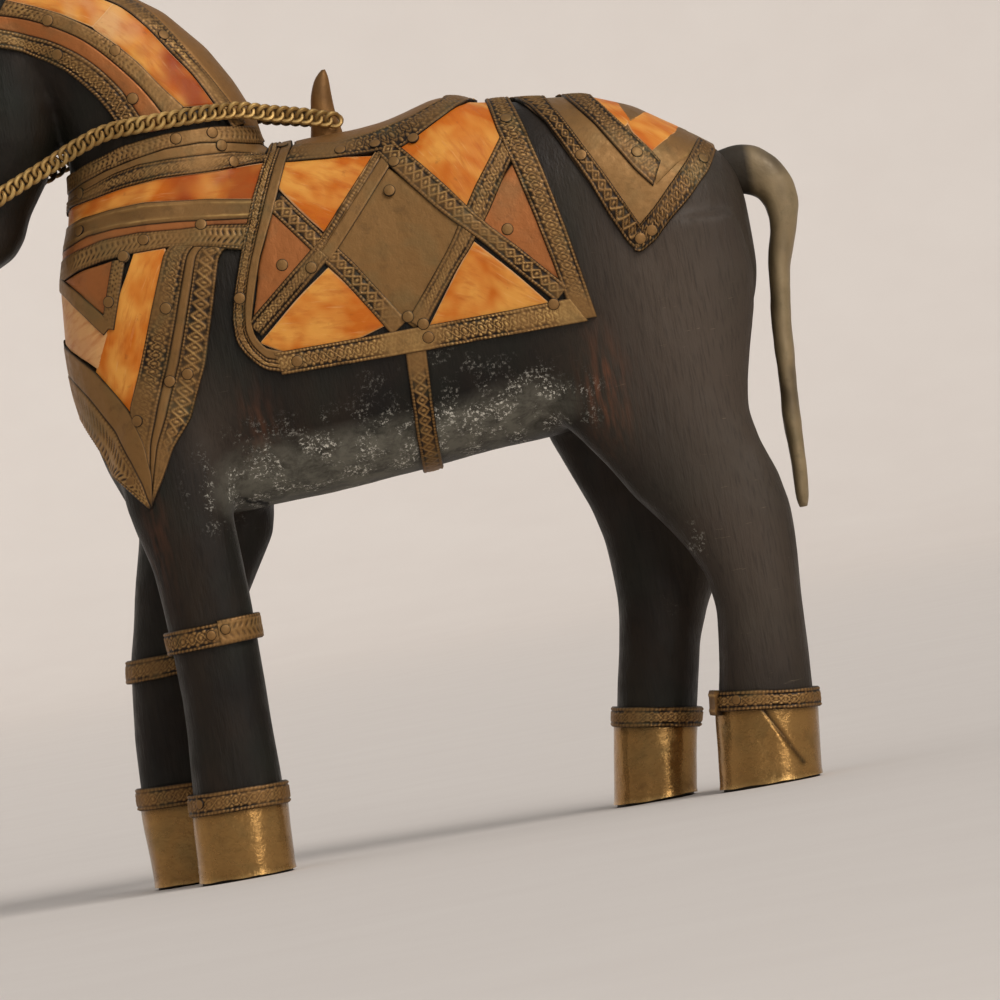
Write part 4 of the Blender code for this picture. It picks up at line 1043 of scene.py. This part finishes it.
# Shares of the way across the drop's side, pattern and height.
DROP_STRIPS = ((0.0, 0.42, "lace", 0.75), (0.42, 0.58, "plain", 0.5), (0.58, 1.0, "vine", 0.7))
DROP_ARMS = (((-75.1, 147.6), (-65.6, 134.4)), ((-60.3, 150.2), (-65.7, 134.6)))
DROP_BONES = (
    (((-77.4, 143.6), (-75, 145), (-66.4, 133.6), (-69.8, 126), (-73.7, 130.2), (-77.2, 134.8)), 1.2),
    (((-57, 150.2), (-49.6, 150.2), (-63.9, 114.4), (-70.1, 125)), 0.35),
)
DROP_COPPER = ((-74.2, 147.6), (-61.9, 150), (-66, 138.2))
DROP_TACKS = ((-53.5, 119.6), (-49, 120.7), (-62.4, 111.7), (-66.3, 98), (-64.2, 140.8), (-59.1, 150.7),
              (-51.3, 136.9))


def chest_drop():
    shell = Shell()
    for side, _ in SIDES:
        for low, high, kind, height in DROP_STRIPS:
            a, b = between(DROP_RIGHT, DROP_LEFT, low, high)
            ribbon(shell, CHEST.line(a), CHEST.line(b), kind, height, CHEST, side)
        for arm, kind in zip(DROP_ARMS, ("plain", "leaves")):
            strip(shell, CHEST.line(arm), 3.4, kind, 0.75, CHEST, side)
    for low, high, kind, height in ((0.0, 0.48, "plain", 0.9), (0.48, 1.0, "leaves", 0.94)):
        a, b = between(NOTCH_UPPER, NOTCH_LOWER, low, high)
        ribbon(shell, CHEST.over(a), CHEST.over(b), kind, height, CHEST)
    shell.done("chest_strips", MATERIAL["brass"], "chest_drop")
    for side, word in SIDES:
        bone_tiles("drop_bone", "chest_bone", DROP_BONES, CHEST, side, word, pale=1)
        shell = Shell()
        tile(shell, DROP_COPPER, SHEET, CHEST, side, shrink=-0.8, metal=True)
        shell.done("drop_copper_" + word, MATERIAL["copper"], "chest_copper_" + word)


# Neck rows, from the crest inward.
ROW_1 = ((-32.1, 182.8), (-35.8, 190.5), (-40.3, 197), (-44.8, 204), (-50, 210), (-56, 213.6),
         (-66, 218), (-75, 220.4))
ROW_2 = ((-39.2, 183.5), (-44, 189.7), (-47.8, 195.7), (-52.3, 201), (-56.7, 205.4), (-64, 210.6),
         (-70, 213.6), (-76.5, 216.2))
ROW_3 = ((-42.6, 179), (-44.8, 184), (-48.5, 190.5), (-52.3, 195.3), (-56.7, 200.6), (-61, 204.7),
         (-67, 208.4), (-73, 211.4), (-79, 213))
ROW_4 = ((-48.2, 179), (-50.4, 185), (-53, 190.5), (-56.7, 195.7), (-61, 200.2), (-67, 204.7),
         (-73, 207.6), (-79.6, 209.9))
ROW_5 = ((-54.4, 179), (-55.6, 183.4), (-58.2, 188.6), (-61.2, 192.7), (-65, 197.2), (-69.4, 200.6),
         (-74.7, 203.5), (-80.2, 205.4))
JOINT_TOP, JOINT_FOOT = ((-51.6, 210.8),), ((-57.2, 206.2),)
CREST_STRIP = ((-29, 176.6),) + ROW_1
CREST_BASE = ((-25.2, 172.6), (-26, 177.4), (-28.8, 183), (-32.6, 190.2), (-37.4, 198.4), (-42, 205.6),
              (-47.6, 211.8), (-54.8, 215.2), (-65.6, 219.6), (-75.6, 222))
CREST_EDGE = ((-21.3, 172.6), (-22, 179.3), (-26, 188), (-32.2, 197), (-40.6, 207), (-47, 211.9),
              (-53.5, 216.4), (-60, 219), (-66, 221), (-76.5, 223.6))
NECK_TACKS = ((-67.3, 209.7), (-66.3, 201.4), (-52.8, 199.6), (-41.4, 201.1), (-50.6, 187.6))


def cut_line(line, x_from, x_to):
    return tuple(p for p in line if x_to <= p[0] <= x_from)


def softened(line):
    """The line with its corners rounded off."""
    for _ in range(6):
        line[1:-1] = 0.25 * line[:-2] + 0.5 * line[1:-1] + 0.25 * line[2:]
    return line


def curve(points):
    """The line drawn through the points as seen from the side, without corners."""
    return softened(resampled(SIDE.line(points), 40))


class Arch:
    """Points over the crest: a flat point is (place along the crest, turn from the crest's line)."""

    def __init__(self, wood, base, edge):
        self.wood = wood
        self.lines = [softened(resampled(np.array(line, float), 60)) for line in (base, edge)]

    def spot(self, place, turn, side):
        (x, z), (edge_x, edge_z) = (
            [np.interp(place * 59, np.arange(60), values) for values in line.T] for line in self.lines
        )
        lead = unit(np.array([edge_x - x, edge_z - z]))
        return cast(self.wood, (x, 0.0, z), (lead[0] * cos(turn), side * sin(turn), lead[1] * cos(turn)))


def arch_plate(shell, base, edge, height, reach, along=70, around=28):
    """A plate folded over a ridge, from one side line over the ridge to the other."""
    place = Arch(WOOD, base, edge)
    flat = np.stack(np.meshgrid(np.linspace(0, 1, along), np.radians(np.linspace(-reach, reach, around)),
                                indexing="ij"), axis=-1)
    spots, out = laid(flat, place, LEFT)
    fine, out = finer(spots, along * 3, around * 3), unit(finer(out, along * 3, around * 3))
    run = np.linalg.norm(np.diff(fine, axis=1), axis=2)
    v = np.concatenate([np.zeros((len(fine), 1)), np.cumsum(run, axis=1)], axis=1)
    rim = np.minimum(v, v[:, -1:] - v)
    ripple = 0.6 + 0.4 * np.cos(np.arange(len(fine)) * 2.1)
    relief = FLAT_RELIEF + 0.35 * np.exp(-(((rim - 0.7) / 0.3) ** 2)) * ripple[:, None]
    heights = LIFT + height + 0.2 * (relief - FLAT_RELIEF) + 0.09 * uneven(fine, 7.0)
    heights = heights - RIM_DROP * np.clip(1 - rim / 0.3, 0, 1)
    shell.plate(fine, out, heights, relief, full=True)


def neck():
    crest = Shell()
    arch_plate(crest, CREST_BASE, CREST_EDGE, 0.5, reach=90.0)
    crest.done("crest_plate", MATERIAL["sheet"], "neck_crest")
    rows = (("neck_strip_outer", ROW_2, ROW_3, "leaves", "brass", 0.72),
            ("neck_copper", ROW_3, ROW_4, "plain", "copper", 0.4),
            ("neck_strip_inner", ROW_4, ROW_5, "vine", "brass", 0.72))
    for side, word in SIDES:
        shell = Shell()
        ribbon(shell, curve(CREST_STRIP), curve(CREST_BASE[1:]), "vine", 0.72, SIDE, side)
        shell.done("crest_strip_" + word, MATERIAL["brass"], slot="neck_crest")
        for number in (1, 2):
            shell = Shell()
            bone_band(shell, side, number)
            shell.done(f"crest_bone_{number}_{word}", MATERIAL["bone"], f"neck_bone_{number}_{word}")
        for name, outer, inner, kind, metal, height in rows:
            shell = Shell()
            ribbon(shell, curve(outer), curve(inner), kind, height, SIDE, side)
            shell.done(f"row_{name[5:]}_{word}", MATERIAL[metal], f"{name}_{word}")


def bone_band(shell, side, number):
    """One of the two long bones below the crest, which meet at the joint: 1 is red at its foot, 2 is pale."""
    if number == 1:
        a, b = cut_line(ROW_1, 0.0, -51.0) + JOINT_TOP, cut_line(ROW_2, 0.0, -57.0) + JOINT_FOOT
    else:
        a, b = JOINT_TOP + cut_line(ROW_1, -52.0, -90.0), JOINT_FOOT + cut_line(ROW_2, -58.0, -90.0)
    ribbon(shell, SIDE.line(a), SIDE.line(b), "bone", BONE, SIDE, side, step=BONE_STEP)
    start, fall = (0.9, 1.7) if number == 1 else (-0.3, 0.0)

    def tint(spots):
        way = np.clip((-38.0 - spots[:, 0]) / 15.0, 0, 1)
        return np.clip(start - fall * way + 0.6 * uneven(spots, 3.2, number), -0.9, 1.0)

    shell.tint = tint


# Crupper.
RUMP_FRONT_A = ((37.3, 173), (42, 168.7), (45.3, 164), (48.7, 157.3), (52.7, 148.7), (56, 140), (59.3, 132.7),
                (61.4, 130.2))
RUMP_FRONT_B = ((44.7, 173), (49.3, 164.7), (53.3, 156.7), (57.3, 148.7), (60.7, 141.3), (63.4, 135.4))
RUMP_REAR_A = ((60.4, 130.6), (61.9, 130), (66, 132.3), (70, 136), (76, 141.3), (80.7, 146), (83.6, 150.4))
RUMP_REAR_B = ((62, 136), (66.7, 140), (72, 145.3), (76.7, 150), (80, 154.2))
RUMP_IN_A = ((48.7, 172), (52.7, 166.7), (56.7, 161.3), (60, 156), (64, 149.3), (67.4, 144.9))
RUMP_IN_B = ((54, 172), (59.3, 165.3), (63.3, 160), (68, 154), (70.2, 150.4))
RUMP_SHEET = ((38.2, 173), (45, 164.6), (52.4, 149), (61.7, 130.6), (70, 136.3), (80, 146), (83.8, 151))
RUMP_PLATE = ((69, 151.2), (68.4, 145.6), (79.4, 153.8), (76.9, 158))
RUMP_TOP = ((62, 169), (65.3, 167), (70.6, 164), (65, 161))
RUMP_BONES = (
    (((54.4, 171), (60.9, 168.9), (64.7, 161.7), (62.8, 160.3)), 0.9),
    (((64.7, 161), (70, 162.6), (73.3, 162.6), (76.9, 158.7), (68.7, 153.7), (65.3, 158.7)), 0.1),
)
RUMP_TACKS = ((52, 155), (65, 153.3), (62.3, 133.3), (65.3, 134.7), (80, 149))


def crupper():
    shell = Shell()
    edge = BACK.over(RUMP_SHEET)
    half = len(edge) // 2
    ribbon(shell, edge[:half + 1][::-1], edge[half:], "plain", 0.15, BACK, full=True, step=PLATE_STEP)
    ribbon(shell, BACK.over(RUMP_FRONT_A), BACK.over(RUMP_FRONT_B), "lace", 0.72, BACK, shine=0.85)
    ribbon(shell, BACK.over(RUMP_IN_A), BACK.over(RUMP_IN_B), "vine", 0.78, BACK, shine=0.85)
    for side, _ in SIDES:
        ribbon(shell, BACK.line(RUMP_REAR_A), BACK.line(RUMP_REAR_B), "vine", 0.85, BACK, side, shine=0.85)
        tile(shell, RUMP_PLATE, 0.5, BACK, side, metal=True)
        tile(shell, RUMP_TOP, 0.5, BACK, side, metal=True)
    shell.done("crupper_strips", MATERIAL["brass"], "crupper")
    for side, word in SIDES:
        bone_tiles("rump_bone", "crupper_bone", RUMP_BONES, BACK, side, word)


GIRTH_FRONT = ((2.7, 116.6), (1.7, 97), (1.6, 80))
GIRTH_BACK = ((7.7, 116.6), (6.7, 97), (6.6, 80))


def girth():
    shell = Shell()
    for side, _ in SIDES:
        ribbon(shell, BACK.line(GIRTH_FRONT), BACK.line(GIRTH_BACK), "lace", 0.5, BACK, side)
    shell.done("girth_band", MATERIAL["brass"], "girth_strap")


class Leg:
    """Points round a leg: turn 0 is its back, a quarter turn its outer side and half a turn its front."""

    def __init__(self, table, side):
        table = sorted(table)
        self.side = side
        self.levels = [row[0] for row in table]
        self.fronts = [row[1] for row in table]
        self.backs = [row[2] for row in table]

    def span(self, z):
        return np.interp(z, self.levels, self.fronts), np.interp(z, self.levels, self.backs)

    def flat(self, x, z):
        front, back = self.span(z)
        return float(np.arccos(np.clip((2 * x - front - back) / (back - front), -1, 1))), z

    def spot(self, turn, z, _side=None):
        front, back = self.span(z)
        start = (0.5 * (front + back), self.side * LEG_Y, z)
        return cast(WOOD, start, (cos(turn), self.side * sin(turn), 0.0))


LEGS = {
    "front_left": Leg(FRONT_LEFT, LEFT), "front_right": Leg(FRONT_RIGHT, RIGHT),
    "hind_left": Leg(HIND_LEFT, LEFT), "hind_right": Leg(HIND_RIGHT, RIGHT),
}
# Leg bands: low edge and high edge at the front, and how much lower both are at the back.
FETLOCKS = {
    "front_left": (16.5, 21.8, 0.3), "front_right": (19.6, 24.9, 0.8),
    "hind_left": (19.3, 24.0, 2.9), "hind_right": (19.3, 24.0, 3.3),
}
HOOF_CREASE = ((71.4, 18.0), (78.4, 4.0))
KNEES = {"front_left": (55.4, 61.0, -0.6), "front_right": (50.0, 55.5, -1.0)}
BAND_TACKS = {
    "front_left": ((-51.1, 59.4), (-54.6, 58.6), (-63.2, 19.4)),
    "front_right": ((-72.4, 53.0), (-76.7, 22.4)),
    "hind_left": ((65.8, 21.3), (60.6, 21.7)), "hind_right": ((39.0, 21.2),),
}


def leg_band(shell, leg, band, kind, height, first=0.02, last=2 * pi - 0.02):
    """A strip round the leg from one turn to the other."""
    low, high, fall = band
    turns, levels = 90, 6
    base = np.empty((turns, levels, 3))
    out = np.empty((turns, levels, 3))
    for i, turn in enumerate(np.linspace(first, last, turns)):
        share = 0.5 + 0.5 * cos(turn)
        for j, level in enumerate(np.linspace(low, high, levels)):
            base[i, j], out[i, j] = leg.spot(turn, level - fall * share)
    perimeter = np.linalg.norm(np.diff(base[:, 2], axis=0), axis=1).sum()
    count, wide = int(perimeter / STEP), int((high - low) / ACROSS)
    base, out = finer(base, count, wide), unit(finer(out, count, wide))
    half = 0.5 * (high - low)
    u = run_of(base[:, wide // 2])[:, None]
    v = np.linspace(-half, half, wide)[None] + 0.0 * u
    relief = PATTERNS[kind](u + 0.3 * uneven(base, 2.4, 6.0), v + 0.14 * uneven(base, 1.6, 8.0), half)
    kept = np.clip(0.75 + 0.8 * uneven(base, 6.0, leg.fronts[0]), 0.3, 1.0)
    relief = FLAT_RELIEF + (relief - FLAT_RELIEF) * kept
    rim = np.clip(1.0 - (half - np.abs(v)) / RIM, 0, 1)
    heights = LIFT + height + RELIEF * relief - 0.2 * rim + 0.2 * uneven(base, 5.0, 3.0)
    shell.plate(base, out, heights, relief * (1 - 0.5 * rim))


def crease_at(points, start, end):
    """1 on the line from start to end as seen from the side, falling to 0 beside it."""
    way = np.array(end) - np.array(start)
    offset = points[..., ::2] - np.array(start)
    share = np.clip(offset @ way / (way @ way), 0, 1)
    away = np.linalg.norm(offset - share[..., None] * way, axis=-1)
    return np.exp(-((away / 0.45) ** 2))


def hoof_cap(name, leg):
    band = FETLOCKS[name]
    low, high, fall = band
    shell = Shell()
    turns, levels = 150, 44
    base = np.empty((turns, levels, 3))
    out = np.empty((turns, levels, 3))
    for i, turn in enumerate(np.linspace(0.03, 2 * pi - 0.03, turns)):
        share = 0.5 + 0.5 * cos(turn)
        foot = 0.35 + 0.25 * (1 + uneven((cos(turn) * 9, sin(turn) * 9, leg.side), 4.0))
        for j, level in enumerate(np.linspace(foot, low + 0.6 - fall * share, levels)):
            base[i, j], out[i, j] = leg.spot(turn, level)
    rise = np.linspace(0, 1, levels)[None]
    dents = 0.26 * uneven(base * (1.0, 1.0, 0.12), 5.0, 5.0) + 0.1 * uneven(base, 5.0, 1.0)
    heights = LIFT + 0.45 + dents + 0.15 * np.exp(-((rise / 0.05) ** 2))
    relief = 0.6 + 0.35 * np.exp(-((rise / 0.04) ** 2)) - 0.4 * np.exp(-(((1 - rise) / 0.08) ** 2))
    if name == "hind_left":
        crease = crease_at(base, *HOOF_CREASE) * (leg.side * base[..., 1] > LEG_Y)
        heights, relief = heights - 0.3 * crease, relief - 0.5 * crease
    shell.plate(base, out, heights, relief + 0.0 * heights, full=True)
    shell.done("cap_" + name, MATERIAL["hoof"], "hoof_cap_" + name)
    ring = Shell()
    leg_band(ring, leg, band, "vine", 1.0)
    if name == "hind_left":
        leg_band(ring, leg, (low - 0.9, high + 0.2, fall), "ribbed", 1.9, radians(152), radians(184))
    ring.done("fetlock_" + name, MATERIAL["brass"], slot="hoof_cap_" + name)


def legs():
    for name, leg in LEGS.items():
        hoof_cap(name, leg)
        if name in KNEES:
            ring = Shell()
            leg_band(ring, leg, KNEES[name], "vine", 0.8)
            if name == "front_left":
                low, high, fall = KNEES[name]
                leg_band(ring, leg, (low, high + 0.5, fall), "leaves", 1.1, 0.06, radians(80))
            ring.done("knee_" + name, MATERIAL["brass"], "knee_band_" + name.split("_")[1])


# The last two sit in the middle of the copper tiles.
TACKS = (
    (BACK, SADDLE_TACKS, 1.22), (CHEST, COLLAR_TACKS, 0.85), (CHEST, DROP_TACKS, 1.05),
    (SIDE, NECK_TACKS, 0.95), (BACK, RUMP_TACKS, 1.05), (BACK, ((-22.4, 142.1), (31.7, 141.0)), 0.55),
)


def tacks():
    shell = Shell()
    for side, _ in SIDES:
        for place, spots, height in TACKS:
            for x, z in spots:
                tack(shell, place, x, z, side, height)
    for name, spots in BAND_TACKS.items():
        for x, z in spots:
            tack(shell, LEGS[name], x, z, None, 1.42, 1.25)
    shell.done("nail_heads", MATERIAL["brass"], slot="saddle_frame")


def taut(contact):
    """Heights of a chain drawn tight over the heights that it may touch."""
    heights = list(contact)
    for _ in range(500):
        for i in range(1, len(heights) - 1):
            heights[i] = max(contact[i], 0.5 * (heights[i - 1] + heights[i + 1]))
    return heights


def link(spot, along, side):
    """Points, faces and relief of one twisted link. The relief rises toward the side facing away from the
    wood, which paints that side lighter as painted highlight and the side toward the wood darker as painted
    shade.
    """
    out = unit(np.array((0.0, side, 0.0)) - along * side * along[1])
    wide = np.cross(along, out)
    turns = np.arange(LINK_SIDES) * 2 * pi / LINK_SIDES
    centre = (along * (LINK_LONG * np.cos(turns))[:, None] + wide * (LINK_WIDE * np.sin(turns))[:, None]
              + out * (0.5 * np.sin(2 * turns))[:, None])
    way = unit(np.roll(centre, -1, axis=0) - np.roll(centre, 1, axis=0))
    aside = unit(np.cross(way, out))
    over = np.cross(aside, way)
    angles = [2 * pi * k / WIRE_SIDES for k in range(WIRE_SIDES)]
    points = np.concatenate([spot + centre + WIRE * (aside * cos(a) + over * sin(a)) for a in angles])
    faces = []
    for k in range(WIRE_SIDES):
        a, b = k * LINK_SIDES, (k + 1) % WIRE_SIDES * LINK_SIDES
        for i in range(LINK_SIDES):
            j = (i + 1) % LINK_SIDES
            faces.append((a + i, a + j, b + j, b + i))
    # Painted highlight on the outward side of the wire, painted shade on the side toward the wood.
    return points, faces, np.clip(0.5 + 0.5 * ((points - spot) @ out), 0.05, 1.0)


def chain(side, word):
    """Curb chain from the horn over the neck to the mouth."""
    path = stepped(CHAIN_PATH)
    contact = []
    for x, z in path:
        tops = [cast(WOOD, (x, 0.0, z + rise), (0.0, side, 0.0))[0] for rise in (-1.5, 0.0, 1.5)]
        near = [abs(top[1]) for top in tops if abs(top[0] - x) < 0.5]
        contact.append((max(near) if x < NECK_FOOT and near else 0.0) + CHAIN_CLEAR)
    contact[0] = HORN[0][4]
    heights = taut(contact)
    run = np.array([(x, side * y, z) for (x, z), y in zip(path, heights)])
    spots = resampled(run, int(length_of(run) / LINK_PITCH) + 1)
    lead = unit(np.gradient(spots, axis=0))
    shell = Shell()
    for spot, along in zip(spots, lead):
        shell.add(*link(spot, along, side))
    shell.done("curb_chain_" + word, MATERIAL["chain"], "rein_chain_" + word)


def turned(name, node, rows, power, material, dents):
    """A cast piece lofted through its sections, its surface worked unevenly."""
    table = np.array(rows)
    run = run_of(table[:, :2])
    at = np.linspace(0, run[-1], max(12, int(run[-1] / 1.1)))
    smooth = np.stack([np.interp(at, run, values) for values in table.T], axis=1)
    for _ in range(2):
        smooth[1:-1] = 0.25 * smooth[:-2] + 0.5 * smooth[1:-1] + 0.25 * smooth[2:]
    bm = bmesh.new()
    loft_into(bm, smooth.tolist(), power, 0.0, CAST_SIDES)
    for face in bm.faces:
        face.smooth = True
    obj = finished(bm, name)
    mesh = obj.data
    spots = np.array([v.co for v in mesh.vertices]) / MM
    normals = np.array([v.normal for v in mesh.vertices])
    push = dents * uneven(spots, 6.0) + 0.4 * dents * uneven(spots, 2.5, 3.0)
    mesh.vertices.foreach_set("co", ((spots + normals * push[:, None]) * MM).ravel())
    relief = FLAT_RELIEF + 0.3 * push / dents
    lowest = 0.35
    if node == "tail":
        lowest = 0.2
        # Painted shade on the tail's top above z 136, and a painted highlight round z 129.
        relief -= 0.3 * np.clip((spots[:, 2] - 136.0) / 8.0, 0, 1)
        relief += 0.2 * np.exp(-(((spots[:, 2] - 129.0) / 8.0) ** 2))
    add_values(mesh, "relief", np.clip(relief, lowest, 0.95))
    if node == "tail":
        add_values(mesh, "root", np.clip((92.5 - spots[:, 0]) / 2.0, 0, 0.9) * (spots[:, 2] > 132.0))
    settled(obj, material, node)


FACE_BASE = ((-91, 172), (-88.6, 187), (-86, 198), (-83, 207))
FACE_EDGE = ((-101.6, 174), (-100.2, 187.5), (-98, 198.5), (-93, 211))
MOUTH_X, MOUTH_Z = -93.2, 166.6


def head_trim():
    plate = Shell()
    arch_plate(plate, FACE_BASE, FACE_EDGE, 0.4, reach=52.0, along=36, around=16)
    plate.done("face_plate_sheet", MATERIAL["sheet"], "face_plate")
    for side, word in SIDES:
        boss = Shell()
        tack(boss, SIDE, MOUTH_X, MOUTH_Z, side, 0.5, 3.4)
        tack(boss, SIDE, MOUTH_X, MOUTH_Z, side, 1.0, 1.7)
        boss.done("mouth_boss_" + word, MATERIAL["sheet"], "bit_boss_" + word)


saddle()
collar()
chest_drop()
neck()
crupper()
girth()
legs()
tacks()
for chain_side, chain_word in SIDES:
    chain(chain_side, chain_word)
turned("horn_spike", "saddle_horn", HORN, 2.0, MATERIAL["sheet"], 0.12)
turned("tail_casting", "tail", TAIL, TAIL_POWER, MATERIAL["tail"], 0.28)
head_trim()


# Floor, in metres.
FLOOR_FLAT = 3.8            # radius of its flat part
FLOOR_BEND = 0.9            # radius of the curve up to its wall
FLOOR_WALL = 2.6            # height of the wall
FLOOR_SIDES = 96


def studio():
    """A wide pale floor that curves up far behind the horse, soft lights and a pale sky."""
    profile = [(1.2, 0.0), (2.4, 0.0), (FLOOR_FLAT, 0.0)]
    for turn in np.radians(np.arange(7.5, 91.0, 7.5)):
        profile.append((FLOOR_FLAT + FLOOR_BEND * sin(turn), FLOOR_BEND - FLOOR_BEND * cos(turn)))
    profile.append((FLOOR_FLAT + FLOOR_BEND, FLOOR_WALL))
    bm = bmesh.new()
    centre = bm.verts.new((0.0, 0.0, 0.0))
    angles = [2 * pi * i / FLOOR_SIDES for i in range(FLOOR_SIDES)]
    rings = [[bm.verts.new((r * cos(a), r * sin(a), z)) for a in angles] for r, z in profile]
    for i in range(FLOOR_SIDES):
        j = (i + 1) % FLOOR_SIDES
        bm.faces.new((centre, rings[0][i], rings[0][j]))
        for low, high in zip(rings, rings[1:]):
            bm.faces.new((low[i], high[i], high[j], low[j]))
    for face in bm.faces:
        face.smooth = True
    floor = finished(bm, "studio_floor")
    f = Finish("pale_paper")
    f.colour = f.mix(srgb(216, 210, 205), srgb(211, 204, 199), f.noise(60.0, 2.0))
    rough = f.span(f.noise(30.0), 0.3, 0.7, 0.8, 0.9)
    floor.data.materials.append(f.end(rough, f.bump(f.noise(2.0), 0.02)))
    world = bpy.data.worlds.new("pale_sky")
    world.use_nodes = True
    world.node_tree.nodes["Background"].inputs["Color"].default_value = (1.0, 0.985, 0.97, 1.0)
    world.node_tree.nodes["Background"].inputs["Strength"].default_value = 0.46
    bpy.context.scene.world = world
    sun = bpy.data.lights.new("high_light", "SUN")
    sun.energy, sun.angle, sun.color = 2.1, radians(32.0), (1.0, 0.96, 0.91)
    lit_from("high_light", sun, (0.6, -0.6, 0.75))
    box = bpy.data.lights.new("tall_box", "AREA")
    box.shape, box.size, box.size_y = "RECTANGLE", 0.2, 1.2
    box.energy, box.color = 7.0, (1.0, 0.95, 0.88)
    lit_from("tall_box", box, (0.62, -1.75, 0.3))


def lit_from(name, lamp, spot):
    """Stands the lamp at the spot and turns it to the horse."""
    obj = bpy.data.objects.new(name, lamp)
    obj.location = spot
    obj.rotation_euler = (Vector((0.0, 0.0, 0.1)) - Vector(spot)).to_track_quat("-Z", "Y").to_euler()
    bpy.context.scene.collection.objects.link(obj)


PICTURE_WIDTH = 240.0       # what the picture shows from side to side, at the horse
CAMERA_AWAY = 2500.0
CAMERA_X, CAMERA_Z = 18.6, 78.1
CAMERA_ROLL = radians(10.2)


def camera():
    lens = bpy.data.cameras.new("camera")
    lens.sensor_width = 36.0
    lens.lens = lens.sensor_width * CAMERA_AWAY / PICTURE_WIDTH
    lens.clip_end = 20.0
    obj = bpy.data.objects.new("camera", lens)
    obj.location = Vector((CAMERA_X, -CAMERA_AWAY, CAMERA_Z)) * MM
    obj.rotation_euler = (pi / 2, CAMERA_ROLL, 0.0)
    bpy.context.scene.collection.objects.link(obj)
    bpy.context.scene.camera = obj


studio()
camera()
bpy.context.scene.view_settings.view_transform = "Standard"
bpy.context.view_layer.update()
